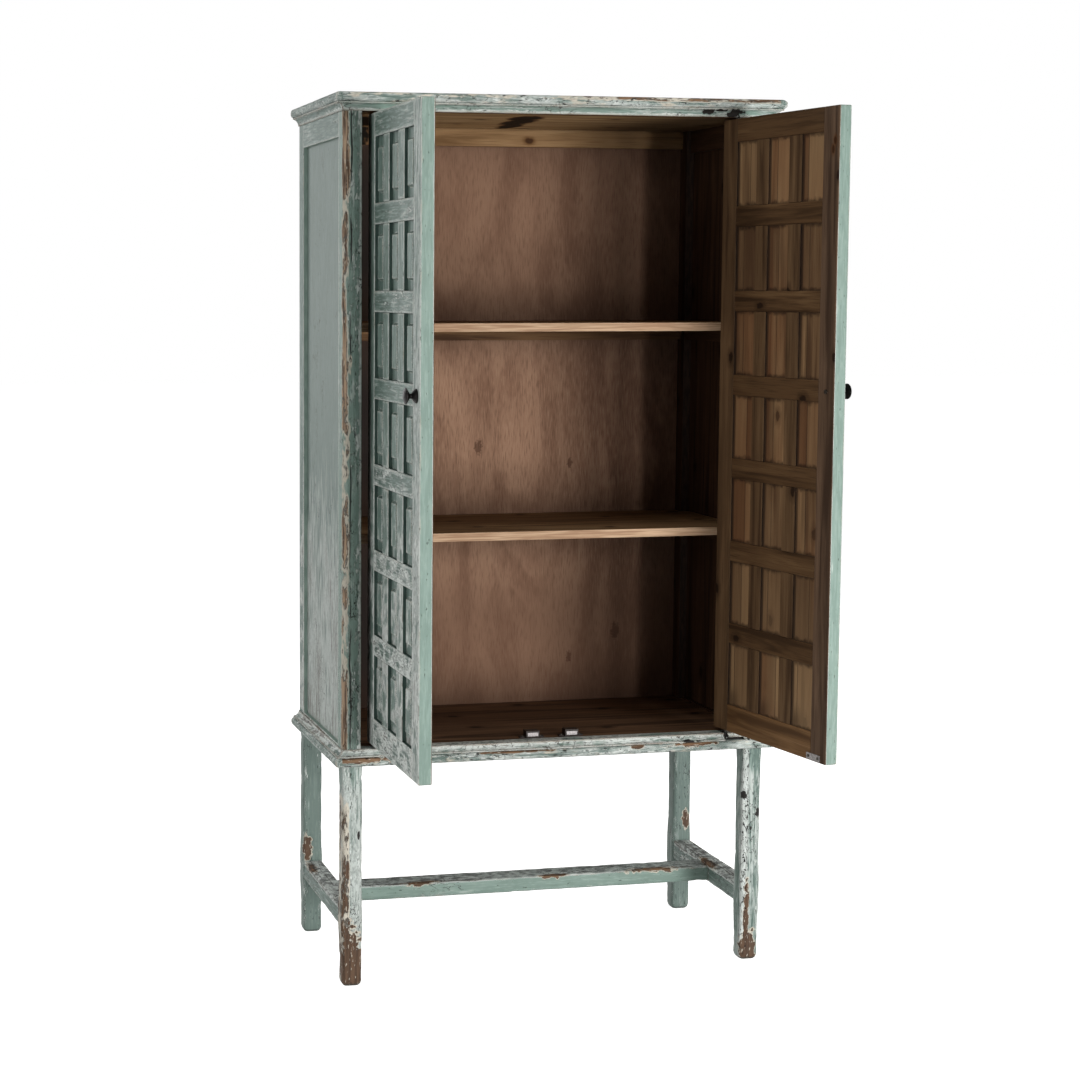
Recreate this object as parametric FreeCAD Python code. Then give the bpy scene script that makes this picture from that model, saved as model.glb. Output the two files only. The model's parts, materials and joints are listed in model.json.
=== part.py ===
import FreeCAD, Part
import math
import os

# Tall two-door cupboard on a low stand with H-stretchers.
# Millimetres, +Z up, front towards -Y. The origin is the middle of the footprint on the floor.
# The doors are pivot-hung and are modelled standing open, each at its own angle.

# Overall sizes
TOTAL_H = 1900.0
CASE_W = 956.0
CASE_D = 452.0

# Stand: legs and stretchers
LEG_H = 483.0
LEG_W = 45.0
LEG_CORNER_R = 9.0
LEG_TOP_CORNER_R = 4.0
LEG_SEAT_W = 47.0
LEG_SEAT_MARGIN = 8.0
LEG_SWELL_H = 45.0
LEG_SHIN_W = 43.5
LEG_WAIST_W = 44.0
LEG_WAIST_DROP = 38.0
LEG_TENON_R = 12.0
LEG_TENON_H = 14.0
FOOT_W = 34.0
FOOT_CHEEK_W = 40.0
FOOT_CHEEK_H = 4.0
FOOT_ROUND_H = 11.0
STRETCHER_BOTTOM = 125.0
STRETCHER_W = 42.0
STRETCHER_H = 45.0
STRETCHER_EASE = 3.0
STRETCHER_TENON_T = 14.0
STRETCHER_TENON_H = 30.0
STRETCHER_TENON_L = 20.0
CENTRE_STRETCHER_D = 66.0
CENTRE_STRETCHER_H = 34.0
CENTRE_STRETCHER_DROP = 7.0
CENTRE_TENON_D = 40.0
CENTRE_TENON_H = 16.0

# Top and base: a slab with a rounded nose and a cove moulding, mirrored top to bottom
TOP_SLAB_T = 20.0
BASE_SLAB_T = 20.0
SLAB_OVERHANG = 20.0
NOSE_R = 8.0
CORNICE_H = 18.0
BASE_COVE_H = 15.0
COVE_OUT = 15.0
COVE_LIP = 2.5
COVE_SAG = 2.0
REPAIR_L = 86.0
REPAIR_GAP = 7.0
REPAIR_SLOT_L = 38.0
REPAIR_SLOT_H = 6.0

# Case frame
POST_W = 40.0
POST_D = 46.0
POST_ROUND_R = 13.0
POST_ROUND_STOP = 9.0
SIDE_RAIL_T = 30.0
SIDE_TOP_RAIL_DROP = 51.0
SIDE_BOTTOM_RAIL_LIP = 3.0
SIDE_PANEL_T = 12.0
SIDE_PANEL_RECESS = 9.0
SIDE_TONGUE_L = 8.0
FRONT_RAIL_D = 30.0
BACK_RAIL_T = 22.0
BACK_RAIL_DROP = 40.0
BACK_SET_IN = 2.0
BACK_PANEL_T = 8.0
BACK_TONGUE_L = 8.0

# Shelves and their cleats
UPPER_SHELF_TOP = 1421.0
LOWER_SHELF_TOP = 969.0
SHELF_T = 18.0
SHELF_SETBACK = 61.0
CLEAT_H = 27.0
CLEAT_T = 18.0

# Doors
DOOR_T = 28.0
DOOR_SIDE_GAP = 5.0
DOOR_MEETING_GAP = 3.0
DOOR_TOP_GAP = 3.0
DOOR_BOTTOM_GAP = 6.0
DOOR_EASE = 1.5
STILE_W = 55.0
TOP_RAIL_H = 50.0
BOTTOM_RAIL_H = 60.0
MID_RAIL_H = 44.0
MUNTIN_W = 46.0
ROWS = 7
COLUMNS = 3
DOOR_PANEL_RECESS = 9.0
DOOR_PANEL_BACK_RECESS = 4.0
FIELD_DEPTH = 3.0
FIELD_SIDE_MARGIN = 19.0
FIELD_END_MARGIN = 25.0
FIELD_SLOPE = 4.0
TONGUE_T = 9.0
TONGUE_FRONT = 10.0
TONGUE_L = 6.0
LEFT_OPEN_DEG = 90.0
RIGHT_OPEN_DEG = 99.0

# Pivots
PIVOT_INSET = 34.0
PIN_R = 4.0
PIN_IN_STILE = 30.0
PIN_IN_TOP_RAIL = 12.0
PIN_IN_SILL = 10.0
BUSH_R = 6.5
BUSH_SPARE = 1.5
BUSH_FLANGE_R = 9.0
THRUST_GAP = 0.3

# Knobs
KNOB_EDGE_INSET = 27.0
KNOB_BELOW_ROW = 3
KNOB_ROSETTE_R = 14.0
KNOB_ROSETTE_T = 2.5
KNOB_NECK_R = 5.0
KNOB_NECK_AT = 10.5
KNOB_NECK_L = 3.0
KNOB_R = 16.0
KNOB_RIM_AT = 21.0
KNOB_RIM_T = 1.5
KNOB_L = 27.0
BOLT_R = 2.0
BOLT_IN_KNOB = 18.0
BOLT_HEAD_R = 4.5
BOLT_HEAD_T = 2.5

# Magnetic catches on the floor and strike plates on the doors
STRIKE_W = 48.0
STRIKE_H = 14.0
STRIKE_T = 1.5
STRIKE_EDGE_INSET = 43.0
STRIKE_ABOVE_EDGE = 2.0
STRIKE_SCREW_PITCH = 34.0
CATCH_GAP = 0.6
CATCH_W = 30.0
CATCH_D = 22.0
CATCH_H = 16.0
CATCH_EAR_SPAN = 54.0
CATCH_EAR_D = 14.0
CATCH_EAR_T = 3.0
CATCH_SCREW_PITCH = 42.0
MAGNET_W = 24.0
MAGNET_D = 18.0
MAGNET_H = 8.0
MAGNET_PROUD = 1.0
SCREW_R = 1.6
SCREW_L = 11.0
SCREW_HEAD_R = 3.2
SCREW_HEAD_T = 1.4

# Clearances
JOINT_FIT = 0.2
PRESS_FIT = 0.02
RUNNING_FIT = 0.05
SHELF_FIT = 0.5

# Levels and planes that several pieces share
FRONT = -CASE_D / 2
BACK = CASE_D / 2
SIDE = CASE_W / 2
BASE_TOP = LEG_H + BASE_SLAB_T
SILL_TOP = BASE_TOP + BASE_COVE_H
SLAB_BOTTOM = TOTAL_H - TOP_SLAB_T
CORNICE_BOTTOM = SLAB_BOTTOM - CORNICE_H
POST_IN = SIDE - POST_W
SIDE_RAIL_IN = SIDE - SIDE_RAIL_T
SIDE_PANEL_OUT = SIDE - SIDE_PANEL_RECESS
SIDE_PANEL_IN = SIDE_PANEL_OUT - SIDE_PANEL_T
SIDE_GROOVE_OUT = SIDE_PANEL_OUT + JOINT_FIT
SIDE_GROOVE_IN = SIDE_PANEL_IN - JOINT_FIT
SIDE_TOP_RAIL_BOTTOM = CORNICE_BOTTOM - SIDE_TOP_RAIL_DROP
SIDE_BOTTOM_RAIL_TOP = SILL_TOP + SIDE_BOTTOM_RAIL_LIP
RAIL_BACK = FRONT + FRONT_RAIL_D
BACK_PANEL_BACK = BACK - BACK_SET_IN
BACK_PANEL_FRONT = BACK_PANEL_BACK - BACK_PANEL_T
BACK_RAIL_FRONT = BACK_PANEL_BACK - BACK_RAIL_T
BACK_RAIL_BOTTOM = CORNICE_BOTTOM - BACK_RAIL_DROP

DOOR_BOTTOM = SILL_TOP + DOOR_BOTTOM_GAP
DOOR_TOP = CORNICE_BOTTOM - DOOR_TOP_GAP
HINGE_X = POST_IN - DOOR_SIDE_GAP
DOOR_W = HINGE_X - DOOR_MEETING_GAP / 2
PIVOT_X = HINGE_X - PIVOT_INSET
PIVOT_Y = FRONT + DOOR_T / 2
FREE_STILE_AT = DOOR_W - STILE_W
PANEL_W = (DOOR_W - 2 * STILE_W - (COLUMNS - 1) * MUNTIN_W) / COLUMNS
PANEL_H = (DOOR_TOP - DOOR_BOTTOM - TOP_RAIL_H - BOTTOM_RAIL_H - (ROWS - 1) * MID_RAIL_H) / ROWS
GROOVE_DEPTH = TONGUE_L + JOINT_FIT
GROOVE_FRONT = TONGUE_FRONT - JOINT_FIT
GROOVE_BACK = TONGUE_FRONT + TONGUE_T + JOINT_FIT
KNOB_AT = DOOR_W - KNOB_EDGE_INSET
KNOB_Z = DOOR_TOP - TOP_RAIL_H - KNOB_BELOW_ROW * PANEL_H - (KNOB_BELOW_ROW - 0.5) * MID_RAIL_H
STRIKE_AT = DOOR_W - STRIKE_EDGE_INSET
STRIKE_Z = DOOR_BOTTOM + STRIKE_ABOVE_EDGE + STRIKE_H / 2
CATCH_X = HINGE_X - STRIKE_AT
MAGNET_FRONT = FRONT + DOOR_T + STRIKE_T + SCREW_HEAD_T + CATCH_GAP
CATCH_FRONT = MAGNET_FRONT + MAGNET_PROUD
CATCH_MIDDLE = CATCH_FRONT + CATCH_D / 2

UP = FreeCAD.Vector(0, 0, 1)
SIDES = {"left": -1, "right": 1}
OPEN_DEG = {"left": LEFT_OPEN_DEG, "right": RIGHT_OPEN_DEG}


def save(node, *solids):
    """Write one node, as one solid or as a group of separate solids."""
    shape = solids[0] if len(solids) == 1 else Part.makeCompound(list(solids))
    shape.exportStep("parts/" + node + ".step")


def box(x0, x1, y0, y1, z0, z1):
    corner = FreeCAD.Vector(min(x0, x1), min(y0, y1), min(z0, z1))
    return Part.makeBox(abs(x1 - x0), abs(y1 - y0), abs(z1 - z0), corner)


def rod(radius, x, y, z0, z1):
    """Upright cylinder between two levels."""
    return Part.makeCylinder(radius, z1 - z0, FreeCAD.Vector(x, y, z0), UP)


def join(*shapes):
    return shapes[0].fuse(list(shapes[1:])).removeSplitter()


def upright_edges(shape, keep):
    """Vertical edges of a box whose corner (x, y) passes the test."""
    chosen = []
    for edge in shape.Edges:
        ends = edge.BoundBox
        if ends.XLength < 1e-6 and ends.YLength < 1e-6 and keep(ends.XMin, ends.YMin):
            chosen.append(edge)
    return chosen


# Stand

def rounded_square(x, y, z, width, radius):
    """Wire of a square with rounded corners, centred on (x, y)."""
    reach = width / 2 - radius
    arcs = []
    for turn, (right, back) in enumerate(((1, 1), (-1, 1), (-1, -1), (1, -1))):
        centre = FreeCAD.Vector(x + right * reach, y + back * reach, z)
        arcs.append(Part.makeCircle(radius, centre, UP, 90 * turn, 90 * turn + 90))
    edges = []
    for arc, following in zip(arcs, arcs[1:] + arcs[:1]):
        edges.append(arc)
        edges.append(Part.makeLine(arc.lastVertex().Point, following.firstVertex().Point))
    return Part.Wire(edges)


LEG_X = SIDE - LEG_W / 2
LEG_Y = BACK - LEG_W / 2
LEG_SEAT_Y = LEG_Y - LEG_SEAT_W / 2
STRETCHER_TOP = STRETCHER_BOTTOM + STRETCHER_H
STRETCHER_MID = STRETCHER_BOTTOM + STRETCHER_H / 2


def side_stretcher_tenon(side, end, spare):
    """Tenon of a side stretcher in a leg, grown by spare on every side to make its mortise."""
    face = end * LEG_SEAT_Y
    half_t = STRETCHER_TENON_T / 2 + spare
    half_h = STRETCHER_TENON_H / 2 + spare
    x = side * LEG_X
    tip = face + end * (STRETCHER_TENON_L + spare)
    return box(x - half_t, x + half_t, face, tip, STRETCHER_MID - half_h, STRETCHER_MID + half_h)


def leg(side, end):
    """Square leg with a rounded foot, a swelling where the stretcher seats and a slight waist above."""
    x = side * LEG_X
    y = end * LEG_Y
    seat_low = STRETCHER_BOTTOM - LEG_SEAT_MARGIN
    seat_high = STRETCHER_TOP + LEG_SEAT_MARGIN
    levels = (
        (0, FOOT_W, LEG_CORNER_R),
        (FOOT_CHEEK_H, FOOT_CHEEK_W, LEG_CORNER_R),
        (FOOT_ROUND_H, LEG_SHIN_W, LEG_CORNER_R),
        (seat_low - LEG_SWELL_H, LEG_SHIN_W, LEG_CORNER_R),
        (seat_low, LEG_SEAT_W, LEG_CORNER_R),
        (seat_high, LEG_SEAT_W, LEG_CORNER_R),
        (seat_high + LEG_SWELL_H, LEG_WAIST_W, LEG_CORNER_R),
        (LEG_H - LEG_WAIST_DROP, LEG_WAIST_W, LEG_CORNER_R),
        (LEG_H, LEG_W, LEG_TOP_CORNER_R),
    )
    rings = [rounded_square(x, y, z, width, radius) for z, width, radius in levels]
    shaft = Part.makeLoft(rings, True, True)
    tenon = rod(LEG_TENON_R, x, y, LEG_H, LEG_H + LEG_TENON_H)
    return shaft.fuse(tenon).cut(side_stretcher_tenon(side, end, JOINT_FIT))


CENTRE_TOP = STRETCHER_TOP - CENTRE_STRETCHER_DROP
CENTRE_MID = CENTRE_TOP - CENTRE_STRETCHER_H / 2
CENTRE_END = LEG_X - STRETCHER_W / 2


def centre_tenon(side, spare):
    tip = side * (CENTRE_END + STRETCHER_TENON_L + spare)
    half_d = CENTRE_TENON_D / 2 + spare
    half_h = CENTRE_TENON_H / 2 + spare
    return box(side * CENTRE_END, tip, -half_d, half_d, CENTRE_MID - half_h, CENTRE_MID + half_h)


def eased_along(shape, axis):
    """Round the long edges of a bar that lies along axis 0 (X) or 1 (Y)."""
    chosen = []
    for edge in shape.Edges:
        ends = edge.BoundBox
        across = ends.YLength if axis == 0 else ends.XLength
        if across < 1e-6 and ends.ZLength < 1e-6:
            chosen.append(edge)
    return shape.makeFillet(STRETCHER_EASE, chosen)


def side_stretcher(side):
    x = side * LEG_X
    half = STRETCHER_W / 2
    bar = box(x - half, x + half, -LEG_SEAT_Y, LEG_SEAT_Y, STRETCHER_BOTTOM, STRETCHER_TOP)
    bar = eased_along(bar, 1)
    tenons = [side_stretcher_tenon(side, end, 0) for end in (-1, 1)]
    return join(bar, *tenons).cut(centre_tenon(side, JOINT_FIT))


def centre_stretcher():
    half = CENTRE_STRETCHER_D / 2
    bar = box(-CENTRE_END, CENTRE_END, -half, half, CENTRE_TOP - CENTRE_STRETCHER_H, CENTRE_TOP)
    bar = eased_along(bar, 0)
    return join(bar, centre_tenon(-1, 0), centre_tenon(1, 0))


# Top and base

def nosed_slab(z0, z1):
    """Slab that overhangs the case in front and at the sides, with a rounded nose there."""
    reach = SIDE + SLAB_OVERHANG
    slab = box(-reach, reach, FRONT - SLAB_OVERHANG, BACK, z0, z1)
    nose = []
    for edge in slab.Edges:
        ends = edge.BoundBox
        if ends.ZLength < 1e-6 and ends.YMin < BACK - 1e-6:
            nose.append(edge)
    return slab.makeFillet(NOSE_R, nose)


def base_slab():
    slab = nosed_slab(LEG_H, BASE_TOP)
    for side in SIDES.values():
        for end in (-1, 1):
            hole_top = LEG_H + LEG_TENON_H + JOINT_FIT
            hole = rod(LEG_TENON_R + JOINT_FIT, side * LEG_X, end * LEG_Y, LEG_H, hole_top)
            slab = slab.cut(hole)
    return slab


def cove_face(place, z_narrow, z_wide):
    """Moulding section; place turns (distance out from the case, level) into a point."""
    rise = 1 if z_wide > z_narrow else -1
    start = place(COVE_LIP, z_narrow + rise * COVE_LIP)
    finish = place(COVE_OUT, z_wide - rise * COVE_LIP)
    middle = place((COVE_LIP + COVE_OUT) / 2 - COVE_SAG, (z_narrow + z_wide) / 2 + rise * COVE_SAG)
    corners = [finish, place(COVE_OUT, z_wide), place(0, z_wide), place(0, z_narrow)]
    corners += [place(COVE_LIP, z_narrow), start]
    edges = [Part.Arc(start, middle, finish).toShape()]
    for first, second in zip(corners, corners[1:]):
        edges.append(Part.makeLine(first, second))
    return Part.Face(Part.Wire(edges))


def plan_prism(points, z0, z1):
    corners = [FreeCAD.Vector(x, y, z0) for x, y in points]
    return Part.Face(Part.makePolygon(corners + corners[:1])).extrude(UP * (z1 - z0))


def front_cove(z_narrow, z_wide):
    """Moulding across the front, mitred at both ends."""
    reach = SIDE + COVE_OUT
    face = cove_face(lambda out, z: FreeCAD.Vector(-reach, FRONT - out, z), z_narrow, z_wide)
    plan = ((-SIDE, FRONT), (-reach, FRONT - COVE_OUT), (reach, FRONT - COVE_OUT), (SIDE, FRONT))
    run = face.extrude(FreeCAD.Vector(2 * reach, 0, 0))
    return run.common(plan_prism(plan, min(z_narrow, z_wide), max(z_narrow, z_wide)))


def side_cove(side, z_narrow, z_wide):
    """Moulding along one side, mitred in front and square at the back."""
    reach = side * (SIDE + COVE_OUT)
    tip = FRONT - COVE_OUT
    face = cove_face(lambda out, z: FreeCAD.Vector(side * (SIDE + out), tip, z), z_narrow, z_wide)
    plan = ((side * SIDE, FRONT), (reach, tip), (reach, BACK), (side * SIDE, BACK))
    run = face.extrude(FreeCAD.Vector(0, BACK - tip, 0))
    return run.common(plan_prism(plan, min(z_narrow, z_wide), max(z_narrow, z_wide)))


def base_front_cove():
    """The base's front moulding: a long run and the short mended end by the right-hand pivot."""
    whole = front_cove(SILL_TOP, BASE_TOP)
    outer = SIDE + COVE_OUT
    mend = SIDE - REPAIR_L
    tip = FRONT - COVE_OUT
    run = whole.common(box(-outer, mend - REPAIR_GAP, tip, FRONT, BASE_TOP, SILL_TOP))
    block = whole.common(box(mend, outer, tip, FRONT, BASE_TOP, SILL_TOP))
    slot = box(mend, mend + REPAIR_SLOT_L, tip, FRONT, BASE_TOP, BASE_TOP + REPAIR_SLOT_H)
    return run, block.cut(slot)


# Case frame

def post_space(side, end, spare=0.0):
    """Box that one corner post fills, grown by spare on its inner faces."""
    inner = POST_IN - spare
    face = BACK - POST_D - spare
    return box(side * SIDE, side * inner, end * BACK, end * face, BASE_TOP, SLAB_BOTTOM)


def post_corner(side):
    """What the rounding takes off a front post's outer corner, stopped short of both mouldings."""
    z0 = SILL_TOP + POST_ROUND_STOP
    z1 = CORNICE_BOTTOM - POST_ROUND_STOP
    inner = side * (SIDE - POST_ROUND_R)
    back = FRONT + POST_ROUND_R
    corner = box(side * SIDE, inner, FRONT, back, z0, z1)
    return corner.cut(rod(POST_ROUND_R, inner, back, z0, z1))


def post(side, end):
    body = post_space(side, end)
    if end < 0:
        body = body.cut(post_corner(side))
    face = end * (BACK - POST_D)
    depth = end * (SIDE_TONGUE_L + JOINT_FIT)
    groove = box(side * SIDE_GROOVE_IN, side * SIDE_GROOVE_OUT, face, face + depth, BASE_TOP, SLAB_BOTTOM)
    body = body.cut(groove)
    if end > 0:
        depth = BACK_TONGUE_L + JOINT_FIT
        front = BACK_PANEL_FRONT - JOINT_FIT
        back = BACK_PANEL_BACK + JOINT_FIT
        body = body.cut(box(side * POST_IN, side * (POST_IN + depth), front, back, SILL_TOP, SLAB_BOTTOM))
    return body


def side_rail(side, z0, z1, grooved_edge, into):
    """Rail between two posts, with stub tenons in their grooves and a groove for the panel."""
    reach = BACK - POST_D
    body = box(side * SIDE, side * SIDE_RAIL_IN, -reach, reach, z0, z1)
    tip = reach + SIDE_TONGUE_L
    stub = box(side * SIDE_PANEL_OUT, side * SIDE_PANEL_IN, -tip, tip, z0, z1)
    depth = into * (SIDE_TONGUE_L + JOINT_FIT)
    edge = grooved_edge
    groove = box(side * SIDE_GROOVE_OUT, side * SIDE_GROOVE_IN, -SIDE, SIDE, edge, edge + depth)
    return join(body, stub).cut(groove)


def side_panel(side):
    tip = BACK - POST_D + SIDE_TONGUE_L
    bottom = SIDE_BOTTOM_RAIL_TOP - SIDE_TONGUE_L
    top = SIDE_TOP_RAIL_BOTTOM + SIDE_TONGUE_L
    return box(side * SIDE_PANEL_OUT, side * SIDE_PANEL_IN, -tip, tip, bottom, top)


def between_posts(board, spare):
    """Notch a board round the four posts."""
    for side in SIDES.values():
        for end in (-1, 1):
            board = board.cut(post_space(side, end, spare))
    return board


def pivot_seat(rail, z0, z1):
    for side in SIDES.values():
        rail = rail.cut(rod(BUSH_R + PRESS_FIT, side * PIVOT_X, PIVOT_Y, z0, z1))
    return rail


TOP_BUSH_END = CORNICE_BOTTOM + PIN_IN_TOP_RAIL + BUSH_SPARE
SILL_BUSH_END = SILL_TOP - PIN_IN_SILL - BUSH_SPARE


def front_top_rail():
    rail = box(-POST_IN, POST_IN, FRONT, RAIL_BACK, CORNICE_BOTTOM, SLAB_BOTTOM)
    return pivot_seat(rail, CORNICE_BOTTOM, TOP_BUSH_END)


def sill():
    rail = box(-POST_IN, POST_IN, FRONT, RAIL_BACK, BASE_TOP, SILL_TOP)
    return pivot_seat(rail, SILL_BUSH_END, SILL_TOP)


def back_top_rail():
    rail = box(-POST_IN, POST_IN, BACK_RAIL_FRONT, BACK_PANEL_BACK, BACK_RAIL_BOTTOM, SLAB_BOTTOM)
    depth = BACK_RAIL_BOTTOM + BACK_TONGUE_L + JOINT_FIT
    front = BACK_PANEL_FRONT - JOINT_FIT
    return rail.cut(box(-POST_IN, POST_IN, front, BACK_PANEL_BACK, BACK_RAIL_BOTTOM, depth))


def back_panel():
    tip = POST_IN + BACK_TONGUE_L
    top = BACK_RAIL_BOTTOM + BACK_TONGUE_L
    return box(-tip, tip, BACK_PANEL_FRONT, BACK_PANEL_BACK, SILL_TOP, top)


def screw_hole(x, y, z_head):
    """Pilot hole of a screw driven down from a level."""
    return rod(SCREW_R + PRESS_FIT, x, y, z_head - SCREW_L, z_head)


def catch_screw_places():
    half = CATCH_SCREW_PITCH / 2
    return [(side * CATCH_X + end * half, CATCH_MIDDLE) for side in SIDES.values() for end in (-1, 1)]


def floor_board():
    board = box(-SIDE_RAIL_IN, SIDE_RAIL_IN, RAIL_BACK, BACK_PANEL_BACK, BASE_TOP, SILL_TOP)
    board = between_posts(board, JOINT_FIT)
    for x, y in catch_screw_places():
        board = board.cut(screw_hole(x, y, SILL_TOP + CATCH_EAR_T))
    return board


def ceiling_board():
    board = box(-SIDE_RAIL_IN, SIDE_RAIL_IN, RAIL_BACK, BACK_RAIL_FRONT, CORNICE_BOTTOM, SLAB_BOTTOM)
    return between_posts(board, JOINT_FIT)


# Shelves

SHELF_FRONT = FRONT + SHELF_SETBACK


def shelf(top):
    half = SIDE_PANEL_IN - SHELF_FIT
    board = box(-half, half, SHELF_FRONT, BACK_PANEL_FRONT - SHELF_FIT, top - SHELF_T, top)
    return between_posts(board, SHELF_FIT)


def back_cleat(top):
    z = top - SHELF_T
    return box(-POST_IN, POST_IN, BACK_PANEL_FRONT - CLEAT_T, BACK_PANEL_FRONT, z - CLEAT_H, z)


def side_cleat(side, top):
    z = top - SHELF_T
    back = BACK - POST_D
    return box(side * SIDE_PANEL_IN, side * (SIDE_PANEL_IN - CLEAT_T), SHELF_FRONT, back, z - CLEAT_H, z)


# Doors, built closed: s runs from the hinge edge to the free edge, t from the outer face inwards

def door_box(side, s0, s1, t0, t1, z0, z1):
    return box(side * (HINGE_X - s0), side * (HINGE_X - s1), FRONT + t0, FRONT + t1, z0, z1)


def row_bottoms():
    """Lower edge of each row of panels, from the top row down."""
    first = DOOR_TOP - TOP_RAIL_H - PANEL_H
    return [first - row * (PANEL_H + MID_RAIL_H) for row in range(ROWS)]


def column_starts():
    return [STILE_W + column * (PANEL_W + MUNTIN_W) for column in range(COLUMNS)]


def eased_stile(side, s0, s1, outer):
    """Stile blank whose two arrises on the door's outer edge are eased."""
    body = door_box(side, s0, s1, 0, DOOR_T, DOOR_BOTTOM, DOOR_TOP)
    x_edge = side * (HINGE_X - outer)
    return body.makeFillet(DOOR_EASE, upright_edges(body, lambda x, y: abs(x - x_edge) < 1e-6))


def hinge_stile(side):
    body = eased_stile(side, 0, STILE_W, 0)
    groove_at = STILE_W - GROOVE_DEPTH
    body = body.cut(door_box(side, groove_at, STILE_W, GROOVE_FRONT, GROOVE_BACK, DOOR_BOTTOM, DOOR_TOP))
    seat = PIN_R + PRESS_FIT
    body = body.cut(rod(seat, side * PIVOT_X, PIVOT_Y, DOOR_TOP - PIN_IN_STILE, DOOR_TOP))
    return body.cut(rod(seat, side * PIVOT_X, PIVOT_Y, DOOR_BOTTOM, DOOR_BOTTOM + PIN_IN_STILE))


def free_stile(side):
    body = eased_stile(side, FREE_STILE_AT, DOOR_W, DOOR_W)
    inner = FREE_STILE_AT
    groove_end = inner + GROOVE_DEPTH
    body = body.cut(door_box(side, inner, groove_end, GROOVE_FRONT, GROOVE_BACK, DOOR_BOTTOM, DOOR_TOP))
    hole = along_door(side, KNOB_AT, KNOB_Z, BOLT_R + PRESS_FIT, 0, DOOR_T)
    return body.cut(hole).cut(strike_screw_hole(side, 1))


def door_rail(side, z0, z1, grooved_below, grooved_above):
    """Rail between the stiles, with stub tenons in their grooves and grooves for the panels."""
    body = door_box(side, STILE_W, FREE_STILE_AT, 0, DOOR_T, z0, z1)
    back = TONGUE_FRONT + TONGUE_T
    stub = door_box(side, STILE_W - TONGUE_L, FREE_STILE_AT + TONGUE_L, TONGUE_FRONT, back, z0, z1)
    rail = join(body, stub)
    if grooved_below:
        rail = rail.cut(door_box(side, 0, DOOR_W, GROOVE_FRONT, GROOVE_BACK, z0, z0 + GROOVE_DEPTH))
    if grooved_above:
        rail = rail.cut(door_box(side, 0, DOOR_W, GROOVE_FRONT, GROOVE_BACK, z1 - GROOVE_DEPTH, z1))
    return rail


def muntin(side, s0, z0):
    """Short upright between two rails, grooved on both sides."""
    s1 = s0 + MUNTIN_W
    z1 = z0 + PANEL_H
    body = door_box(side, s0, s1, 0, DOOR_T, z0, z1)
    back = TONGUE_FRONT + TONGUE_T
    stub = door_box(side, s0, s1, TONGUE_FRONT, back, z0 - TONGUE_L, z1 + TONGUE_L)
    post_piece = join(body, stub)
    for start in (s0, s1 - GROOVE_DEPTH):
        groove = door_box(side, start, start + GROOVE_DEPTH, GROOVE_FRONT, GROOVE_BACK, DOOR_BOTTOM, DOOR_TOP)
        post_piece = post_piece.cut(groove)
    return post_piece


def raised_field(side, s0, z0):
    """Raised middle of a panel's outer face, with sloping sides."""
    wires = []
    for depth, spread in ((DOOR_PANEL_RECESS, FIELD_SLOPE), (FIELD_DEPTH, 0)):
        s_low = s0 + FIELD_SIDE_MARGIN - spread
        s_high = s0 + PANEL_W - FIELD_SIDE_MARGIN + spread
        z_low = z0 + FIELD_END_MARGIN - spread
        z_high = z0 + PANEL_H - FIELD_END_MARGIN + spread
        outline = ((s_low, z_low), (s_high, z_low), (s_high, z_high), (s_low, z_high))
        corners = [FreeCAD.Vector(side * (HINGE_X - s), FRONT + depth, z) for s, z in outline]
        wires.append(Part.makePolygon(corners + corners[:1]))
    return Part.makeLoft(wires, True, True)


def door_panel(side, s0, z0):
    """Panel with a raised field outside and a tongue in the grooves all round."""
    fit = JOINT_FIT
    s1 = s0 + PANEL_W
    z1 = z0 + PANEL_H
    inner = DOOR_T - DOOR_PANEL_BACK_RECESS
    middle = door_box(side, s0 + fit, s1 - fit, DOOR_PANEL_RECESS, inner, z0 + fit, z1 - fit)
    back = TONGUE_FRONT + TONGUE_T
    reach = TONGUE_L
    tongue = door_box(side, s0 - reach, s1 + reach, TONGUE_FRONT, back, z0 - reach, z1 + reach)
    return join(middle, tongue, raised_field(side, s0, z0))


def along_door(side, s, z, radius, t0, t1):
    """Cylinder square to the door's face, from depth t0 to depth t1."""
    start = FreeCAD.Vector(side * (HINGE_X - s), FRONT + t0, z)
    return Part.makeCylinder(radius, t1 - t0, start, FreeCAD.Vector(0, 1, 0))


def pivot_pin(side, z0, z1):
    return rod(PIN_R, side * PIVOT_X, PIVOT_Y, z0, z1)


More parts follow.
